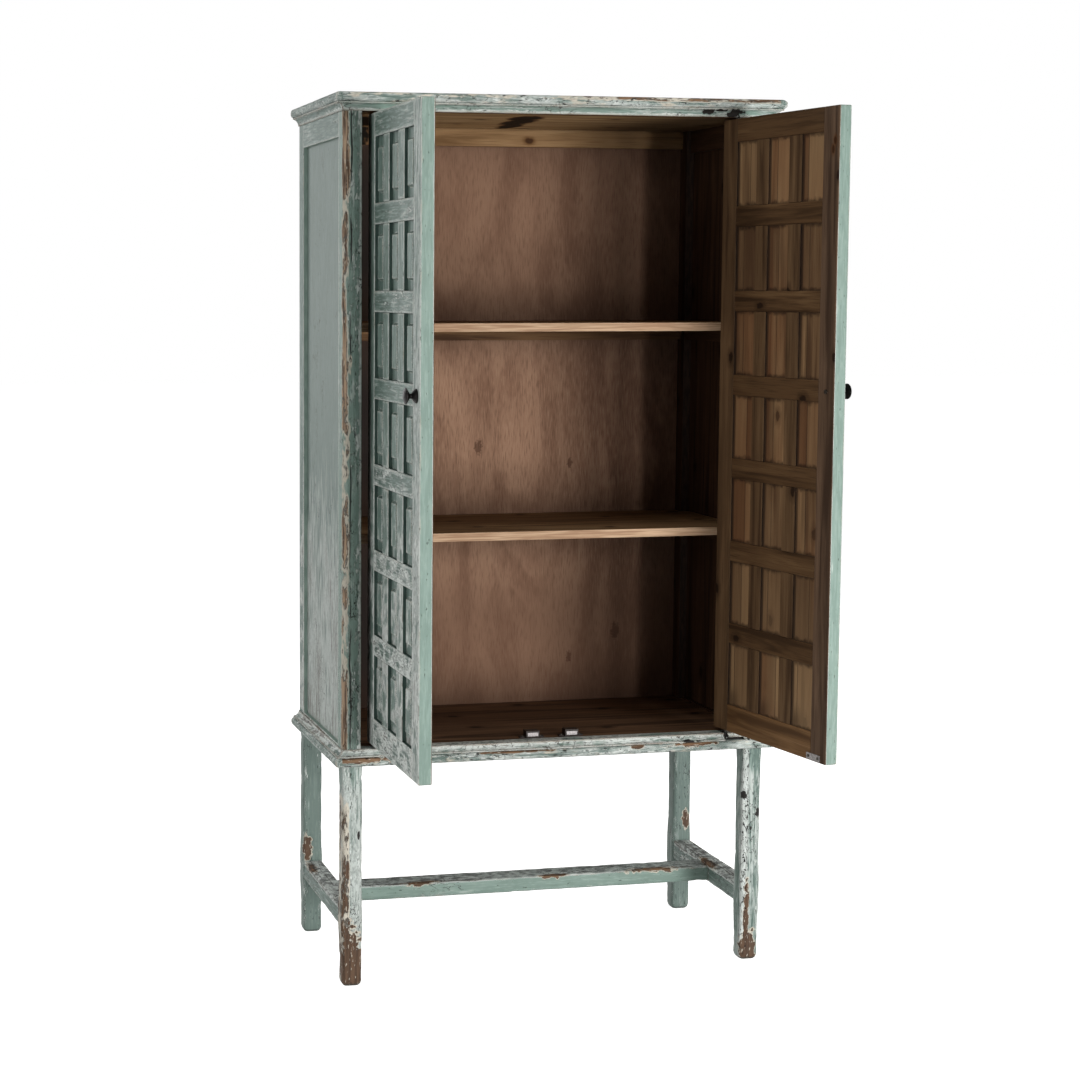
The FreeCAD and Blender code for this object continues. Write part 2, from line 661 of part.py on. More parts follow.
def knob(side):
    """Turned knob: a cone that narrows to a thin neck, and a flared head with a domed end."""
    def point(radius, out):
        return FreeCAD.Vector(radius, 0, out)

    tip = point(0, KNOB_L)
    head_at = KNOB_RIM_AT + KNOB_RIM_T
    rise = KNOB_L - head_at
    dome_r = (KNOB_R ** 2 + rise ** 2) / (2 * rise)
    half_turn = math.asin(KNOB_R / dome_r) / 2
    dome = point(dome_r * math.sin(half_turn), KNOB_L - dome_r + dome_r * math.cos(half_turn))
    outline = (
        tip,
        point(0, 0),
        point(KNOB_ROSETTE_R, 0),
        point(KNOB_ROSETTE_R, KNOB_ROSETTE_T),
        point(KNOB_NECK_R, KNOB_NECK_AT),
        point(KNOB_NECK_R, KNOB_NECK_AT + KNOB_NECK_L),
        point(KNOB_R, KNOB_RIM_AT),
        point(KNOB_R, head_at),
    )
    edges = [Part.makeLine(start, end) for start, end in zip(outline, outline[1:])]
    edges.append(Part.Arc(outline[-1], dome, tip).toShape())
    body = Part.Face(Part.Wire(edges)).revolve(FreeCAD.Vector(0, 0, 0), UP, 360)
    body.rotate(FreeCAD.Vector(0, 0, 0), FreeCAD.Vector(1, 0, 0), 90)
    body.translate(FreeCAD.Vector(side * (HINGE_X - KNOB_AT), FRONT, KNOB_Z))
    return body.cut(along_door(side, KNOB_AT, KNOB_Z, BOLT_R + PRESS_FIT, -BOLT_IN_KNOB, 0))


def knob_bolt(side):
    shank = along_door(side, KNOB_AT, KNOB_Z, BOLT_R, -BOLT_IN_KNOB, DOOR_T)
    head = along_door(side, KNOB_AT, KNOB_Z, BOLT_HEAD_R, DOOR_T, DOOR_T + BOLT_HEAD_T)
    return join(shank, head)


def strike_screw_at(end):
    return STRIKE_AT + end * STRIKE_SCREW_PITCH / 2


def strike_screw_hole(side, end):
    depth = DOOR_T + STRIKE_T - SCREW_L
    return along_door(side, strike_screw_at(end), STRIKE_Z, SCREW_R + PRESS_FIT, depth, DOOR_T + STRIKE_T)


def strike_plate(side):
    half_w = STRIKE_W / 2
    half_h = STRIKE_H / 2
    s0 = STRIKE_AT - half_w
    s1 = STRIKE_AT + half_w
    plate = door_box(side, s0, s1, DOOR_T, DOOR_T + STRIKE_T, STRIKE_Z - half_h, STRIKE_Z + half_h)
    return plate.cut(strike_screw_hole(side, -1)).cut(strike_screw_hole(side, 1))


def strike_screw(side, end):
    face = DOOR_T + STRIKE_T
    shank = along_door(side, strike_screw_at(end), STRIKE_Z, SCREW_R, face - SCREW_L, face)
    head = along_door(side, strike_screw_at(end), STRIKE_Z, SCREW_HEAD_R, face, face + SCREW_HEAD_T)
    return join(shank, head)


def door(name):
    """Every piece of one door, closed, as node name to solids."""
    side = SIDES[name]
    rows = row_bottoms()
    columns = column_starts()
    mid_rails = [door_rail(side, z - MID_RAIL_H, z, True, True) for z in rows[:-1]]
    muntins = [muntin(side, s + PANEL_W, z) for z in rows for s in columns[:-1]]
    panels = [door_panel(side, s, z) for z in rows for s in columns]
    low_rail = door_rail(side, DOOR_BOTTOM, DOOR_BOTTOM + BOTTOM_RAIL_H, False, True)
    top_pin = pivot_pin(side, DOOR_TOP - PIN_IN_STILE, CORNICE_BOTTOM + PIN_IN_TOP_RAIL)
    low_pin = pivot_pin(side, SILL_TOP - PIN_IN_SILL, DOOR_BOTTOM + PIN_IN_STILE)
    return {
        "hinge_stile": [hinge_stile(side)],
        "free_stile": [free_stile(side)],
        "top_rail": [door_rail(side, DOOR_TOP - TOP_RAIL_H, DOOR_TOP, True, False)],
        "mid_rails": mid_rails,
        "bottom_rail": [low_rail.cut(strike_screw_hole(side, -1))],
        "muntins": muntins,
        "panels": panels,
        "pivot_pins": [top_pin, low_pin],
        "knob": [knob(side)],
        "knob_bolt": [knob_bolt(side)],
        "strike_plate": [strike_plate(side)],
        "strike_screws": [strike_screw(side, -1), strike_screw(side, 1)],
    }


def swing_open(shape, name):
    """Turn a closed door's piece about its pivot to the angle at which the door stands."""
    side = SIDES[name]
    axis_point = FreeCAD.Vector(side * PIVOT_X, PIVOT_Y, 0)
    turned = shape.copy()
    turned.rotate(axis_point, UP, side * OPEN_DEG[name])
    return turned


# Pivot bushes and catches, fixed to the case

def top_bush(side):
    x = side * PIVOT_X
    sleeve = rod(BUSH_R, x, PIVOT_Y, CORNICE_BOTTOM, TOP_BUSH_END)
    return sleeve.cut(rod(PIN_R + RUNNING_FIT, x, PIVOT_Y, CORNICE_BOTTOM, TOP_BUSH_END))


def sill_bush(side):
    """Flanged bush that carries the door's weight."""
    x = side * PIVOT_X
    top = DOOR_BOTTOM - THRUST_GAP
    sleeve = rod(BUSH_R, x, PIVOT_Y, SILL_BUSH_END, SILL_TOP)
    flange = rod(BUSH_FLANGE_R, x, PIVOT_Y, SILL_TOP, top)
    return join(sleeve, flange).cut(rod(PIN_R + RUNNING_FIT, x, PIVOT_Y, SILL_BUSH_END, top))


def magnet_space(side, spare):
    x = side * CATCH_X
    half = MAGNET_W / 2 + spare
    z = SILL_TOP + CATCH_H / 2
    half_h = MAGNET_H / 2 + spare
    back = MAGNET_FRONT + MAGNET_D + spare
    return box(x - half, x + half, MAGNET_FRONT, back, z - half_h, z + half_h)


def catch_housing(side):
    x = side * CATCH_X
    back = CATCH_FRONT + CATCH_D
    body = box(x - CATCH_W / 2, x + CATCH_W / 2, CATCH_FRONT, back, SILL_TOP, SILL_TOP + CATCH_H)
    half = CATCH_EAR_SPAN / 2
    ear_front = CATCH_MIDDLE - CATCH_EAR_D / 2
    ears = box(x - half, x + half, ear_front, ear_front + CATCH_EAR_D, SILL_TOP, SILL_TOP + CATCH_EAR_T)
    housing = join(body, ears).cut(magnet_space(side, JOINT_FIT))
    for place_x, place_y in catch_screw_places():
        housing = housing.cut(screw_hole(place_x, place_y, SILL_TOP + CATCH_EAR_T))
    return housing


def catch_screw(x, y):
    face = SILL_TOP + CATCH_EAR_T
    return join(rod(SCREW_R, x, y, face - SCREW_L, face), rod(SCREW_HEAD_R, x, y, face, face + SCREW_HEAD_T))


os.makedirs("parts", exist_ok=True)

save("top_slab", nosed_slab(SLAB_BOTTOM, TOTAL_H))
save("cornice_front", front_cove(CORNICE_BOTTOM, SLAB_BOTTOM))
save("base_slab", base_slab())
base_run, base_mend = base_front_cove()
save("base_cove_front", base_run)
save("base_cove_mended_end", base_mend)
save("front_top_rail", front_top_rail())
save("back_top_rail", back_top_rail())
save("sill", sill())
save("ceiling_board", ceiling_board())
save("floor_board", floor_board())
save("back_panel", back_panel())
save("upper_shelf", shelf(UPPER_SHELF_TOP))
save("lower_shelf", shelf(LOWER_SHELF_TOP))
save("centre_stretcher", centre_stretcher())

SHELF_TOPS = (UPPER_SHELF_TOP, LOWER_SHELF_TOP)
save("back_cleats", *[back_cleat(top) for top in SHELF_TOPS])
save("side_cleats", *[side_cleat(side, top) for side in SIDES.values() for top in SHELF_TOPS])
save("pivot_bushes", *[maker(side) for side in SIDES.values() for maker in (top_bush, sill_bush)])
save("catch_housings", *[catch_housing(side) for side in SIDES.values()])
save("catch_magnets", *[magnet_space(side, 0) for side in SIDES.values()])
save("catch_screws", *[catch_screw(x, y) for x, y in catch_screw_places()])
save("cornice_returns", *[side_cove(side, CORNICE_BOTTOM, SLAB_BOTTOM) for side in SIDES.values()])
save("base_cove_returns", *[side_cove(side, SILL_TOP, BASE_TOP) for side in SIDES.values()])

top_rails = []
bottom_rails = []
for side in SIDES.values():
    top_rails.append(side_rail(side, SIDE_TOP_RAIL_BOTTOM, SLAB_BOTTOM, SIDE_TOP_RAIL_BOTTOM, 1))
    bottom_rails.append(side_rail(side, BASE_TOP, SIDE_BOTTOM_RAIL_TOP, SIDE_BOTTOM_RAIL_TOP, -1))
save("side_top_rails", *top_rails)
save("side_bottom_rails", *bottom_rails)

for name, side in SIDES.items():
    for place, end in (("front", -1), ("back", 1)):
        save(place + "_" + name + "_post", post(side, end))
        save(place + "_" + name + "_leg", leg(side, end))
    save(name + "_side_panel", side_panel(side))
    save(name + "_stretcher", side_stretcher(side))
    for piece, solids in door(name).items():
        save(name + "_door_" + piece, *[swing_open(solid, name) for solid in solids])
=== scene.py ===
# %% [markdown]
# A tall cupboard on an open stand, in worn grey-green paint, with both doors open on a brown inside. The
# packed CAD solids stay where they are. Here they get eased arrises, hand-made unevenness and layered
# finishes, all made from code and shader nodes.

# %% Load the solids
import json
import math
from itertools import product

import bmesh
import bpy
from mathutils import Matrix, Vector, noise

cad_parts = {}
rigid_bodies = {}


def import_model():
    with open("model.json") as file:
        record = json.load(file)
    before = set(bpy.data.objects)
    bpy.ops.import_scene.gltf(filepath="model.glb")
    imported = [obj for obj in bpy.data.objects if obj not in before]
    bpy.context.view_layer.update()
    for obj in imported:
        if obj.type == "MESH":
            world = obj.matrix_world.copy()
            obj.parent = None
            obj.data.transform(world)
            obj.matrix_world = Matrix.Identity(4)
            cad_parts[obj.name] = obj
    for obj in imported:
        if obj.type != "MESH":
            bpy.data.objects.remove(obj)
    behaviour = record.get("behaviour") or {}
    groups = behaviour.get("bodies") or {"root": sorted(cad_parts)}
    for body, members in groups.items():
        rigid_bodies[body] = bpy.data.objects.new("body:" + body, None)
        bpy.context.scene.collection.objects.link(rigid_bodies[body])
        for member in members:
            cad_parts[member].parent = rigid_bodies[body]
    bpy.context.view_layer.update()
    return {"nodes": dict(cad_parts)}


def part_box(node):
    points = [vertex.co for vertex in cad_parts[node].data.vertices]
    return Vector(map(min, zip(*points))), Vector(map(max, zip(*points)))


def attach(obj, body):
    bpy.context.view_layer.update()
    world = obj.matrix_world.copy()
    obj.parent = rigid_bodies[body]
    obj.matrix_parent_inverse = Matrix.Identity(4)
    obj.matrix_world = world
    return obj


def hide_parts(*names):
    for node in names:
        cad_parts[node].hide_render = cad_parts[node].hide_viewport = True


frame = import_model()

# %% [markdown]
# The photograph was taken from the left, at about eye level. A level camera would need a large lens shift,
# which other views keep, so this one tilts down a little. Its place and lens come from a fit to corners of
# the case, doors and shelves.

# %% Camera
FRAME_PX = 1080
FOCAL_PX = 2159.6
SENSOR_MM = 36.0
CAMERA_AT = (-1.4800, -4.6369, 1.4900)
CAMERA_YAW = math.radians(12.007)
CAMERA_PITCH = math.radians(5.443)
CAMERA_SHIFT = (0.21, -0.040)


def link(obj):
    bpy.context.scene.collection.objects.link(obj)
    return obj


camera_data = bpy.data.cameras.new("camera")
camera_data.sensor_width = SENSOR_MM
camera_data.lens = FOCAL_PX / FRAME_PX * SENSOR_MM
camera_data.shift_x, camera_data.shift_y = CAMERA_SHIFT
camera = link(bpy.data.objects.new("camera", camera_data))
camera.location = CAMERA_AT
camera.rotation_euler = (math.pi / 2 - CAMERA_PITCH, 0, -CAMERA_YAW)
bpy.context.scene.camera = camera
print("lens:", round(camera_data.lens, 2), "mm")

# %% [markdown]
# Each finish is a web of shader nodes, slow to wire by hand and hard to read, so finishes are written as
# sums. A Coat wraps one node output: `1 - rub * 0.4` adds the Math nodes by itself, `node` adds any other
# kind of node, and `over` mixes colours.


# %% The class that writes shader nodes
class Coat:
    """One value, place or colour that varies over a surface."""

    def __init__(self, tree, socket=None):
        self.tree = tree
        self.socket = socket

    def node(self, kind, sockets=None, output=0, **settings):
        """Add a node with these settings, and put values or Coats on its sockets."""
        made = self.tree.nodes.new(kind)
        for key, value in settings.items():
            setattr(made, key, value)
        for key, value in (sockets or {}).items():
            if isinstance(value, Coat):
                self.tree.links.new(value.socket, made.inputs[key])
            else:
                made.inputs[key].default_value = value
        return Coat(self.tree, made.outputs[output] if made.outputs else None)

    def math(self, operation, *values):
        return self.node("ShaderNodeMath", dict(enumerate(values)), operation=operation)

    def __add__(self, other):
        return self.math("ADD", self, other)

    def __sub__(self, other):
        return self.math("SUBTRACT", self, other)

    def __rsub__(self, other):
        return self.math("SUBTRACT", other, self)

    def __mul__(self, other):
        return self.math("MULTIPLY", self, other)

    def __truediv__(self, other):
        return self.math("DIVIDE", self, other)

    def __abs__(self):
        return self.math("ABSOLUTE", self)

    __radd__ = __add__

    def most(self, other):
        return self.math("MAXIMUM", self, other)

    def least(self, other):
        return self.math("MINIMUM", self, other)

    def floor(self):
        return self.math("FLOOR", self)

    def step(self, low, high):
        """0 below low, 1 above high and smooth between; low may be the larger."""
        sockets = {"Value": self, "From Min": low, "From Max": high}
        return self.node("ShaderNodeMapRange", sockets, interpolation_type="SMOOTHSTEP")

    def over(self, below, above):
        """Colour below where this is 0, and colour above where it is 1."""
        return self.node("ShaderNodeMix", {0: self, 6: below, 7: above}, 2, data_type="RGBA")

    def vector(self, operation, *others, output=0):
        sockets = dict(enumerate((self, *others)))
        return self.node("ShaderNodeVectorMath", sockets, output, operation=operation)

    def axis(self, name):
        return self.node("ShaderNodeSeparateXYZ", {0: self}, name)

    x = property(lambda self: self.axis("X"))
    y = property(lambda self: self.axis("Y"))
    z = property(lambda self: self.axis("Z"))


print("a Coat can:", [word for word in vars(Coat) if word[0] != "_"])

# %% [markdown]
# Colours were read as screen values, and a shader wants linear ones, so `tint` converts them. A
# finish starts from the piece's own coordinates, so that a door keeps its marks as it swings, and ends in
# one Principled shader with a little relief.

# %% Colours and shaders


def tint(red, green, blue):
    """Screen values from 0 to 255 as the linear colour that a shader uses."""
    linear = []
    for value in (red, green, blue):
        part = value / 255
        linear.append(part / 12.92 if part <= 0.04045 else ((part + 0.055) / 1.055) ** 2.4)
    return (*linear, 1.0)


def new_finish(name):
    material = bpy.data.materials.new(name)
    material.use_nodes = True
    material.node_tree.nodes.clear()
    return material, Coat(material.node_tree).node("ShaderNodeTexCoord", output="Object")


def close_finish(place, colour, rough, height, depth, metal=0.0, shine=0.25):
    """Put colour, roughness and relief on the shader."""
    relief = place.node("ShaderNodeBump", {"Height": height, "Distance": depth})
    sockets = {"Base Color": colour, "Roughness": rough, "Metallic": metal, "Normal": relief}
    sockets["Specular IOR Level"] = shine
    shader = place.node("ShaderNodeBsdfPrincipled", sockets)
    place.node("ShaderNodeOutputMaterial", {"Surface": shader})


print("screen grey 128 is", round(tint(128, 128, 128)[0], 3), "in a shader")

# %% [markdown]
# The stage is a plain white floor under a white surround, as in a cut-out studio picture. An evenly white
# room would light the inside too flatly, so the surround only fills in.

# %% Floor and surround
FLOOR_HALF = 30.0
FLOOR_GLOW = 0.92
SURROUND_LIGHT = 0.11

bpy.context.scene.view_settings.view_transform = "Standard"

floor_mesh = bpy.data.meshes.new("studio_floor")
corners = [(x * FLOOR_HALF, y * FLOOR_HALF, 0) for x, y in ((-1, -1), (1, -1), (1, 1), (-1, 1))]
floor_mesh.from_pydata(corners, [], [(0, 1, 2, 3)])
studio_floor = link(bpy.data.objects.new("studio_floor", floor_mesh))
studio_floor.visible_diffuse = False
floor_finish, place = new_finish("pale_floor")
pale = {"Base Color": tint(225, 225, 222), "Roughness": 0.9}
pale.update({"Emission Color": tint(255, 255, 255), "Emission Strength": FLOOR_GLOW})
pale_shader = place.node("ShaderNodeBsdfPrincipled", pale)
place.node("ShaderNodeOutputMaterial", {"Surface": pale_shader})
floor_mesh.materials.append(floor_finish)

world = bpy.data.worlds.new("surround")
bpy.context.scene.world = world
world.use_nodes = True
world.node_tree.nodes.clear()
sky = Coat(world.node_tree)
seen = sky.node("ShaderNodeLightPath", output="Is Camera Ray")
strength = seen * (1.0 - SURROUND_LIGHT) + SURROUND_LIGHT
glow = sky.node("ShaderNodeBackground", {"Color": (1, 1, 1, 1), "Strength": strength})
sky.node("ShaderNodeOutputWorld", {"Surface": glow})
print("floor:", 2 * FLOOR_HALF, "m wide")

# %% [markdown]
# A studio hangs soft boxes round the piece, and area lights do the same. The key stands low, in front and
# to the right, so that the left of the back panel is bright and the right wall falls into the dark. One
# far to the left reaches the painted side but not the inside.

# %% Lights
LOOK_AT = Vector((0.0, 0.0, 1.0))


def soft_light(name, at, size, watts):
    data = bpy.data.lights.new(name, "AREA")
    data.shape = "RECTANGLE"
    data.size, data.size_y = size
    data.energy = watts
    lamp = link(bpy.data.objects.new(name, data))
    lamp.location = at
    lamp.rotation_euler = (LOOK_AT - Vector(at)).to_track_quat("-Z", "Y").to_euler()
    lamp.visible_camera = False


soft_light("key_right", (1.78, -4.75, 1.2), (1.1, 2.0), 164)
soft_light("side_left", (-4.3, -2.9, 1.6), (2.5, 2.5), 110)
soft_light("back_left", (-2.6, 4.2, 2.0), (2.5, 2.5), 60)
soft_light("back_right", (4.2, 1.8, 1.8), (2.5, 2.5), 70)
soft_light("top", (0.0, -0.5, 5.0), (3.0, 3.0), 60)
soft_light("low_front", (1.3, -2.6, 0.15), (1.2, 0.6), 30)
print("lights:", len(bpy.data.lights))

# %% [markdown]
# All finishes share a few patterns: soft noise that can run along the grain, sharp edges, corners where
# dirt stays and painted shade falls, and uneven blobs such as a worn foot. Painted pictures would show
# more, but patterns stay crisp at any distance and fit every face.

# %% Patterns that the finishes share
ACROSS, DEEP, UP = 0, 1, 2


def stretched(place, grain, share):
    """The place, squeezed along the grain so that patterns grow long there."""
    scale = [1.0, 1.0, 1.0]
    scale[grain] = share
    return place.vector("MULTIPLY", scale)


def speckle(place, scale, detail, grain=None, share=1.0, twist=0.0):
    """Soft noise from 0 to 1, with spots about 1/scale metres wide, and longer along the grain."""
    if grain is not None:
        place = stretched(place, grain, share)
    sockets = {"Vector": place, "Scale": scale, "Detail": detail, "Distortion": twist}
    return place.node("ShaderNodeTexNoise", sockets, "Fac")


def arris(place, radius):
    """Near 1 on sharp edges and 0 on flats."""
    rounded = place.node("ShaderNodeBevel", {"Radius": radius}, samples=4)
    true = place.node("ShaderNodeNewGeometry", output="True Normal")
    return (1 - rounded.vector("DOT_PRODUCT", true, output="Value")) * 3.0


def crevice_dirt_and_shade(place, reach=0.010, begin=0.80):
    """Above 0 in the corner where two pieces meet: dirt that stays there, and painted shade."""
    open_sky = place.node("ShaderNodeAmbientOcclusion", {"Distance": reach}, "AO", samples=4)
    return open_sky.step(begin, 0.45) * 0.65


def ramp(axis, low, high, amount):
    """A function of the place: 0 below low and this amount above high."""
    return lambda place: place.axis(axis).step(low, high) * amount


def patches(place, spots, rag, scale, soft=0.3):
    """1 inside uneven blobs and 0 outside. A spot is its centre and its half sizes, in millimetres."""
    ragged = (speckle(place, scale, 3) - 0.5) * (2 * rag)
    total = None
    for spot in spots:
        metres = [value / 1000 for value in spot]
        away = place.vector("SUBTRACT", metres[:3]).vector("DIVIDE", metres[3:])
        mark = (away.vector("LENGTH", output="Value") + ragged).step(1.0 + soft, 1.0 - soft)
        total = mark if total is None else total.most(mark)
    return total


print("grain runs along axis", ACROSS, DEEP, "or", UP)

# %% [markdown]
# The paint is three layers: brown wood, a chalky undercoat and a grey-green top coat, rubbed back along
# the grain. One noise per layer would look like camouflage. So the layers share four noises, and each kind
# of wear is a threshold on a mix of them: a thin spot is chalky first, then cracked, then bare.

# %% Layers of the paint
RUBBED = (tint(88, 107, 99), tint(116, 135, 127), tint(142, 159, 151))
SMOOTH = (tint(120, 141, 131), tint(131, 152, 142), tint(142, 161, 151))
CALM = (tint(102, 118, 111), tint(110, 126, 119), tint(118, 134, 127))
FIELD = (tint(92, 112, 104), tint(112, 132, 124), tint(134, 152, 144))
SUNK = (tint(78, 98, 91), tint(98, 118, 110), tint(118, 137, 129))
CHALK = tint(214, 219, 214)
CREAM = tint(206, 197, 180)
WOOD_RAW = tint(132, 102, 76)
WOOD_OLD = tint(72, 54, 41)
DIRT_AND_SHADE = tint(50, 58, 52)
SOOT_AND_SHADOW = tint(24, 20, 17)


def add_chalk(colour, noises, edge, thin, haze, fleck):
    """A veil of chalk, and crisp white specks with a dark fringe that gather at the arrises."""
    streak, fine, patch, cloud = noises
    begin = 0.65 - 0.3 * haze
    veil = (streak * 0.38 + patch * 0.36 + cloud * 0.26 + thin).step(begin, begin + 0.15)
    spot = fine * 0.50 + patch * 0.28 + cloud * 0.22 + edge * (0.2 + 0.5 * fleck) + thin * 0.6
    limit = 0.74 - 0.24 * fleck
    white = spot.step(limit, limit + 0.06)
    fringe = spot.step(limit - 0.05, limit - 0.01) - white
    chalky = (veil * 0.7).most(white * 0.92)
    colour = chalky.over(colour, CHALK)
    return (fringe * 0.4).over(colour, DIRT_AND_SHADE), chalky, white


def add_cracks(colour, place, grain, thin, crack):
    """Fine black lines along the contours of a noise, in some zones only."""
    contour = abs(speckle(place, 80, 4, grain, 0.45) - 0.5).step(0.020, 0.005)
    zone = speckle(place, 16, 2, grain, 0.6) + thin * 0.4
    where = zone.step(0.64 - 0.2 * crack, 0.70 - 0.2 * crack)
    return (contour * where * 0.9).over(colour, SOOT_AND_SHADOW)


def break_paint(colour, chip, bare, lines, fine, raw):
    """Where chip is high the paint is gone: a cream edge, a dark line and then the wood."""
    torn = 0.78 - 0.30 * bare
    halo = chip.step(torn - 0.16, torn - 0.08)
    rim = chip.step(torn - 0.04, torn - 0.01)
    wood = chip.step(torn + 0.005, torn + 0.03)
    colour = (halo * 0.85).over(colour, CREAM)
    colour = (rim * 0.85).over(colour, SOOT_AND_SHADOW)
    shade = lines.step(0.36, 0.62).over(WOOD_OLD, raw)
    shade = (fine.step(0.60, 0.68) * 0.7).over(shade, CREAM)
    return wood.over(colour, shade), halo, wood


print("greens:", len((RUBBED, SMOOTH, CALM, FIELD, SUNK)))

# %% [markdown]
# The paint differs from piece to piece, smooth on a door edge and nearly gone on a foot. So one function
# takes amounts for the whole surface, and functions of the place for spots that show in the photograph.

# %% The paint


def old_paint(
    name, grain, tones, haze, fleck, bare=0.0, crack=0.0, worn=None, strip=None, holes=None, raw=WOOD_RAW
):
    """Rubbed paint. haze, fleck, bare and crack set how much veil, specks, wood and cracks show all over;
    worn, strip and holes are functions of the place that add wear, bare wood and black holes there. On
    the mouldings the holes also hold a painted shadow in a gap."""
    finish, place = new_finish(name)
    streak = speckle(place, 260, 3, grain, 0.08)
    fine = speckle(place, 250, 4, grain, 0.28)
    patch = speckle(place, 70, 2, grain, 0.18)
    cloud = speckle(place, 9, 3, grain, 0.5)
    edge = arris(place, 0.010)
    thin = worn(place) if worn else 0.0

    body = (streak * 0.4 + patch * 0.3 + cloud * 0.3).step(0.42, 0.58).over(tones[0], tones[1])
    colour = ((fine * 0.5 + streak * 0.5).step(0.47, 0.66) * 0.75).over(body, tones[2])
    noises = (streak, fine, patch, cloud)
    colour, chalky, white = add_chalk(colour, noises, edge, thin, haze, fleck)
    lines = speckle(place, 230, 3, grain, 0.05)
    brown = (lines * 0.6 + cloud * 0.4 + thin * 0.65).step(0.70, 0.78)
    colour = (brown * 0.65).over(colour, WOOD_OLD)
    pit_limit = 0.69 - 0.06 * fleck
    pit = speckle(place, 250, 2, grain, 0.3).step(pit_limit, pit_limit + 0.05)
    colour = (pit * 0.75).over(colour, DIRT_AND_SHADE)
    if crack:
        colour = add_cracks(colour, place, grain, thin, crack)

    chip = speckle(place, 60, 4, grain, 0.35) * 0.6 + fine * 0.25 + edge * 0.20
    if strip:
        chip = chip + strip(place)
    colour, halo, wood = break_paint(colour, chip, bare, lines, fine, raw)
    # Dirt and painted shade in the corners where pieces meet.
    colour = crevice_dirt_and_shade(place).over(colour, DIRT_AND_SHADE)
    height = fine * 0.3 + streak * 0.3 + white * 0.3 - pit * 0.4 - halo * 0.4 - wood * 0.5
    if holes:
        # Black holes, and on the mouldings a painted shadow in a gap.
        hole = holes(place)
        colour = hole.over(colour, SOOT_AND_SHADOW)
        height = height - hole * 1.5
    close_finish(place, colour, 0.55 + chalky * 0.15 + wood * 0.1, height, 0.0010)
    return finish


def low_wear(place):
    """More wear in the lower third, in patches."""
    patchy = speckle(place, 26, 3).step(0.38, 0.62) * 0.26 + 0.03
    return place.z.step(1.35, 0.66) * patchy


paint_upright = old_paint("rubbed_paint_upright", UP, RUBBED, 0.38, 0.56, worn=low_wear)
paint_across = old_paint("rubbed_paint_across", ACROSS, RUBBED, 0.48, 0.70, crack=0.2, worn=low_wear)
paint_deep = old_paint("rubbed_paint_deep", DEEP, RUBBED, 0.42, 0.58, worn=low_wear)
paint_field = old_paint("rubbed_paint_field", UP, FIELD, 0.28, 0.46, worn=low_wear)
paint_sunk = old_paint("rubbed_paint_sunk", UP, SUNK, 0.12, 0.32, worn=low_wear)
print("nodes in one paint:", len(paint_across.node_tree.nodes))

# %% [markdown]
# The inside was never painted: it is softwood under a brown stain. Wave textures make stiff, regular
# rings, so the figure is noise drawn far out along the grain, with fine pores and a few knots.

# %% The stained wood
STAIN = (tint(72, 50, 34), tint(112, 84, 58), tint(150, 118, 84))
TAN = (tint(108, 80, 52), tint(152, 120, 84), tint(184, 152, 112))
UMBER_SHADE = (tint(40, 28, 21), tint(64, 46, 34), tint(82, 60, 45))
SAWN = (tint(170, 136, 108), tint(206, 175, 144))
KNOTS_PER_M = 6.5


def grain_of(place, grain, tones, flat="XZ"):
    """Colour and relief of stained softwood: a twisting figure, fine pores and a few knots.
    flat names the two axes of the board's face."""
    figure = speckle(place, 42, 4, grain, 0.06, 0.6)
    pores = speckle(place, 600, 2, grain, 0.02)
    cloud = speckle(place, 5, 2)
    colour = figure.step(0.30, 0.52).over(tones[0], tones[1])
    colour = (figure * 0.7 + cloud * 0.3).step(0.5, 0.70).over(colour, tones[2])
    colour = (pores.step(0.50, 0.70) * 0.55).over(colour, tones[0])
    along = stretched(place, grain, 0.6)
    face = place.node("ShaderNodeCombineXYZ", {0: along.axis(flat[0]), 1: along.axis(flat[1])})
    cell = {"Vector": face, "Scale": KNOTS_PER_M}
    far = place.node("ShaderNodeTexVoronoi", cell, "Distance", voronoi_dimensions="2D")
    ragged = far + (speckle(place, 90, 2) - 0.5) * 0.06
    colour = (ragged.step(0.13, 0.05) * 0.6).over(colour, tones[0])
    knot = ragged.step(0.055, 0.035)
    colour = (knot * 0.85).over(colour, tint(30, 19, 13))
    return colour, figure * 0.6 + pores * 0.4 - knot * 0.3


def stained_wood(name, grain, tones, flat="XZ", front=None, marks_and_shadows=None, knots=None, painted_shade=None):
    """Stained board. front is the level in Y of a raw front edge; marks are black gashes and painted shadows
    at dark ends, knots are reddish, and dim is a function of the place where painted shade darkens the stain."""
    finish, place = new_finish(name)
    colour, height = grain_of(place, grain, tones, flat)
    # Painted shade: the stain darkens where the function says.
    if painted_shade:
        colour = painted_shade(place).over(colour, UMBER_SHADE[0])
    if marks_and_shadows:
        # A real gash, and painted shadows at dark ends.
        mark = patches(place, marks_and_shadows, 0.35, 60, 0.35)
        colour = (mark.step(0.0, 0.4) * 0.75).over(colour, tint(84, 54, 30))
        colour = (mark.step(0.5, 0.75) * 0.97).over(colour, tint(10, 7, 5))
    if knots:
        knot = patches(place, knots, 0.3, 90, 0.6)
        colour = (knot * 0.8).over(colour, tint(92, 56, 28))
        colour = (knot.step(0.75, 1.0) * 0.7).over(colour, tint(44, 26, 15))
    if front is not None:
        raw = place.y.step(front + 0.0012, front + 0.0004)
        streak = speckle(place, 300, 3, grain, 0.04)
        colour = raw.over(colour, streak.step(0.35, 0.65).over(*SAWN))
    # Dirt and painted shade in the corners where pieces meet.
    colour = crevice_dirt_and_shade(place).over(colour, UMBER_SHADE[0])
    close_finish(place, colour, 0.62 + height * 0.1, height, 0.0005, shine=0.06)
    return finish


stain_across = stained_wood("stained_wood_across", ACROSS, STAIN)
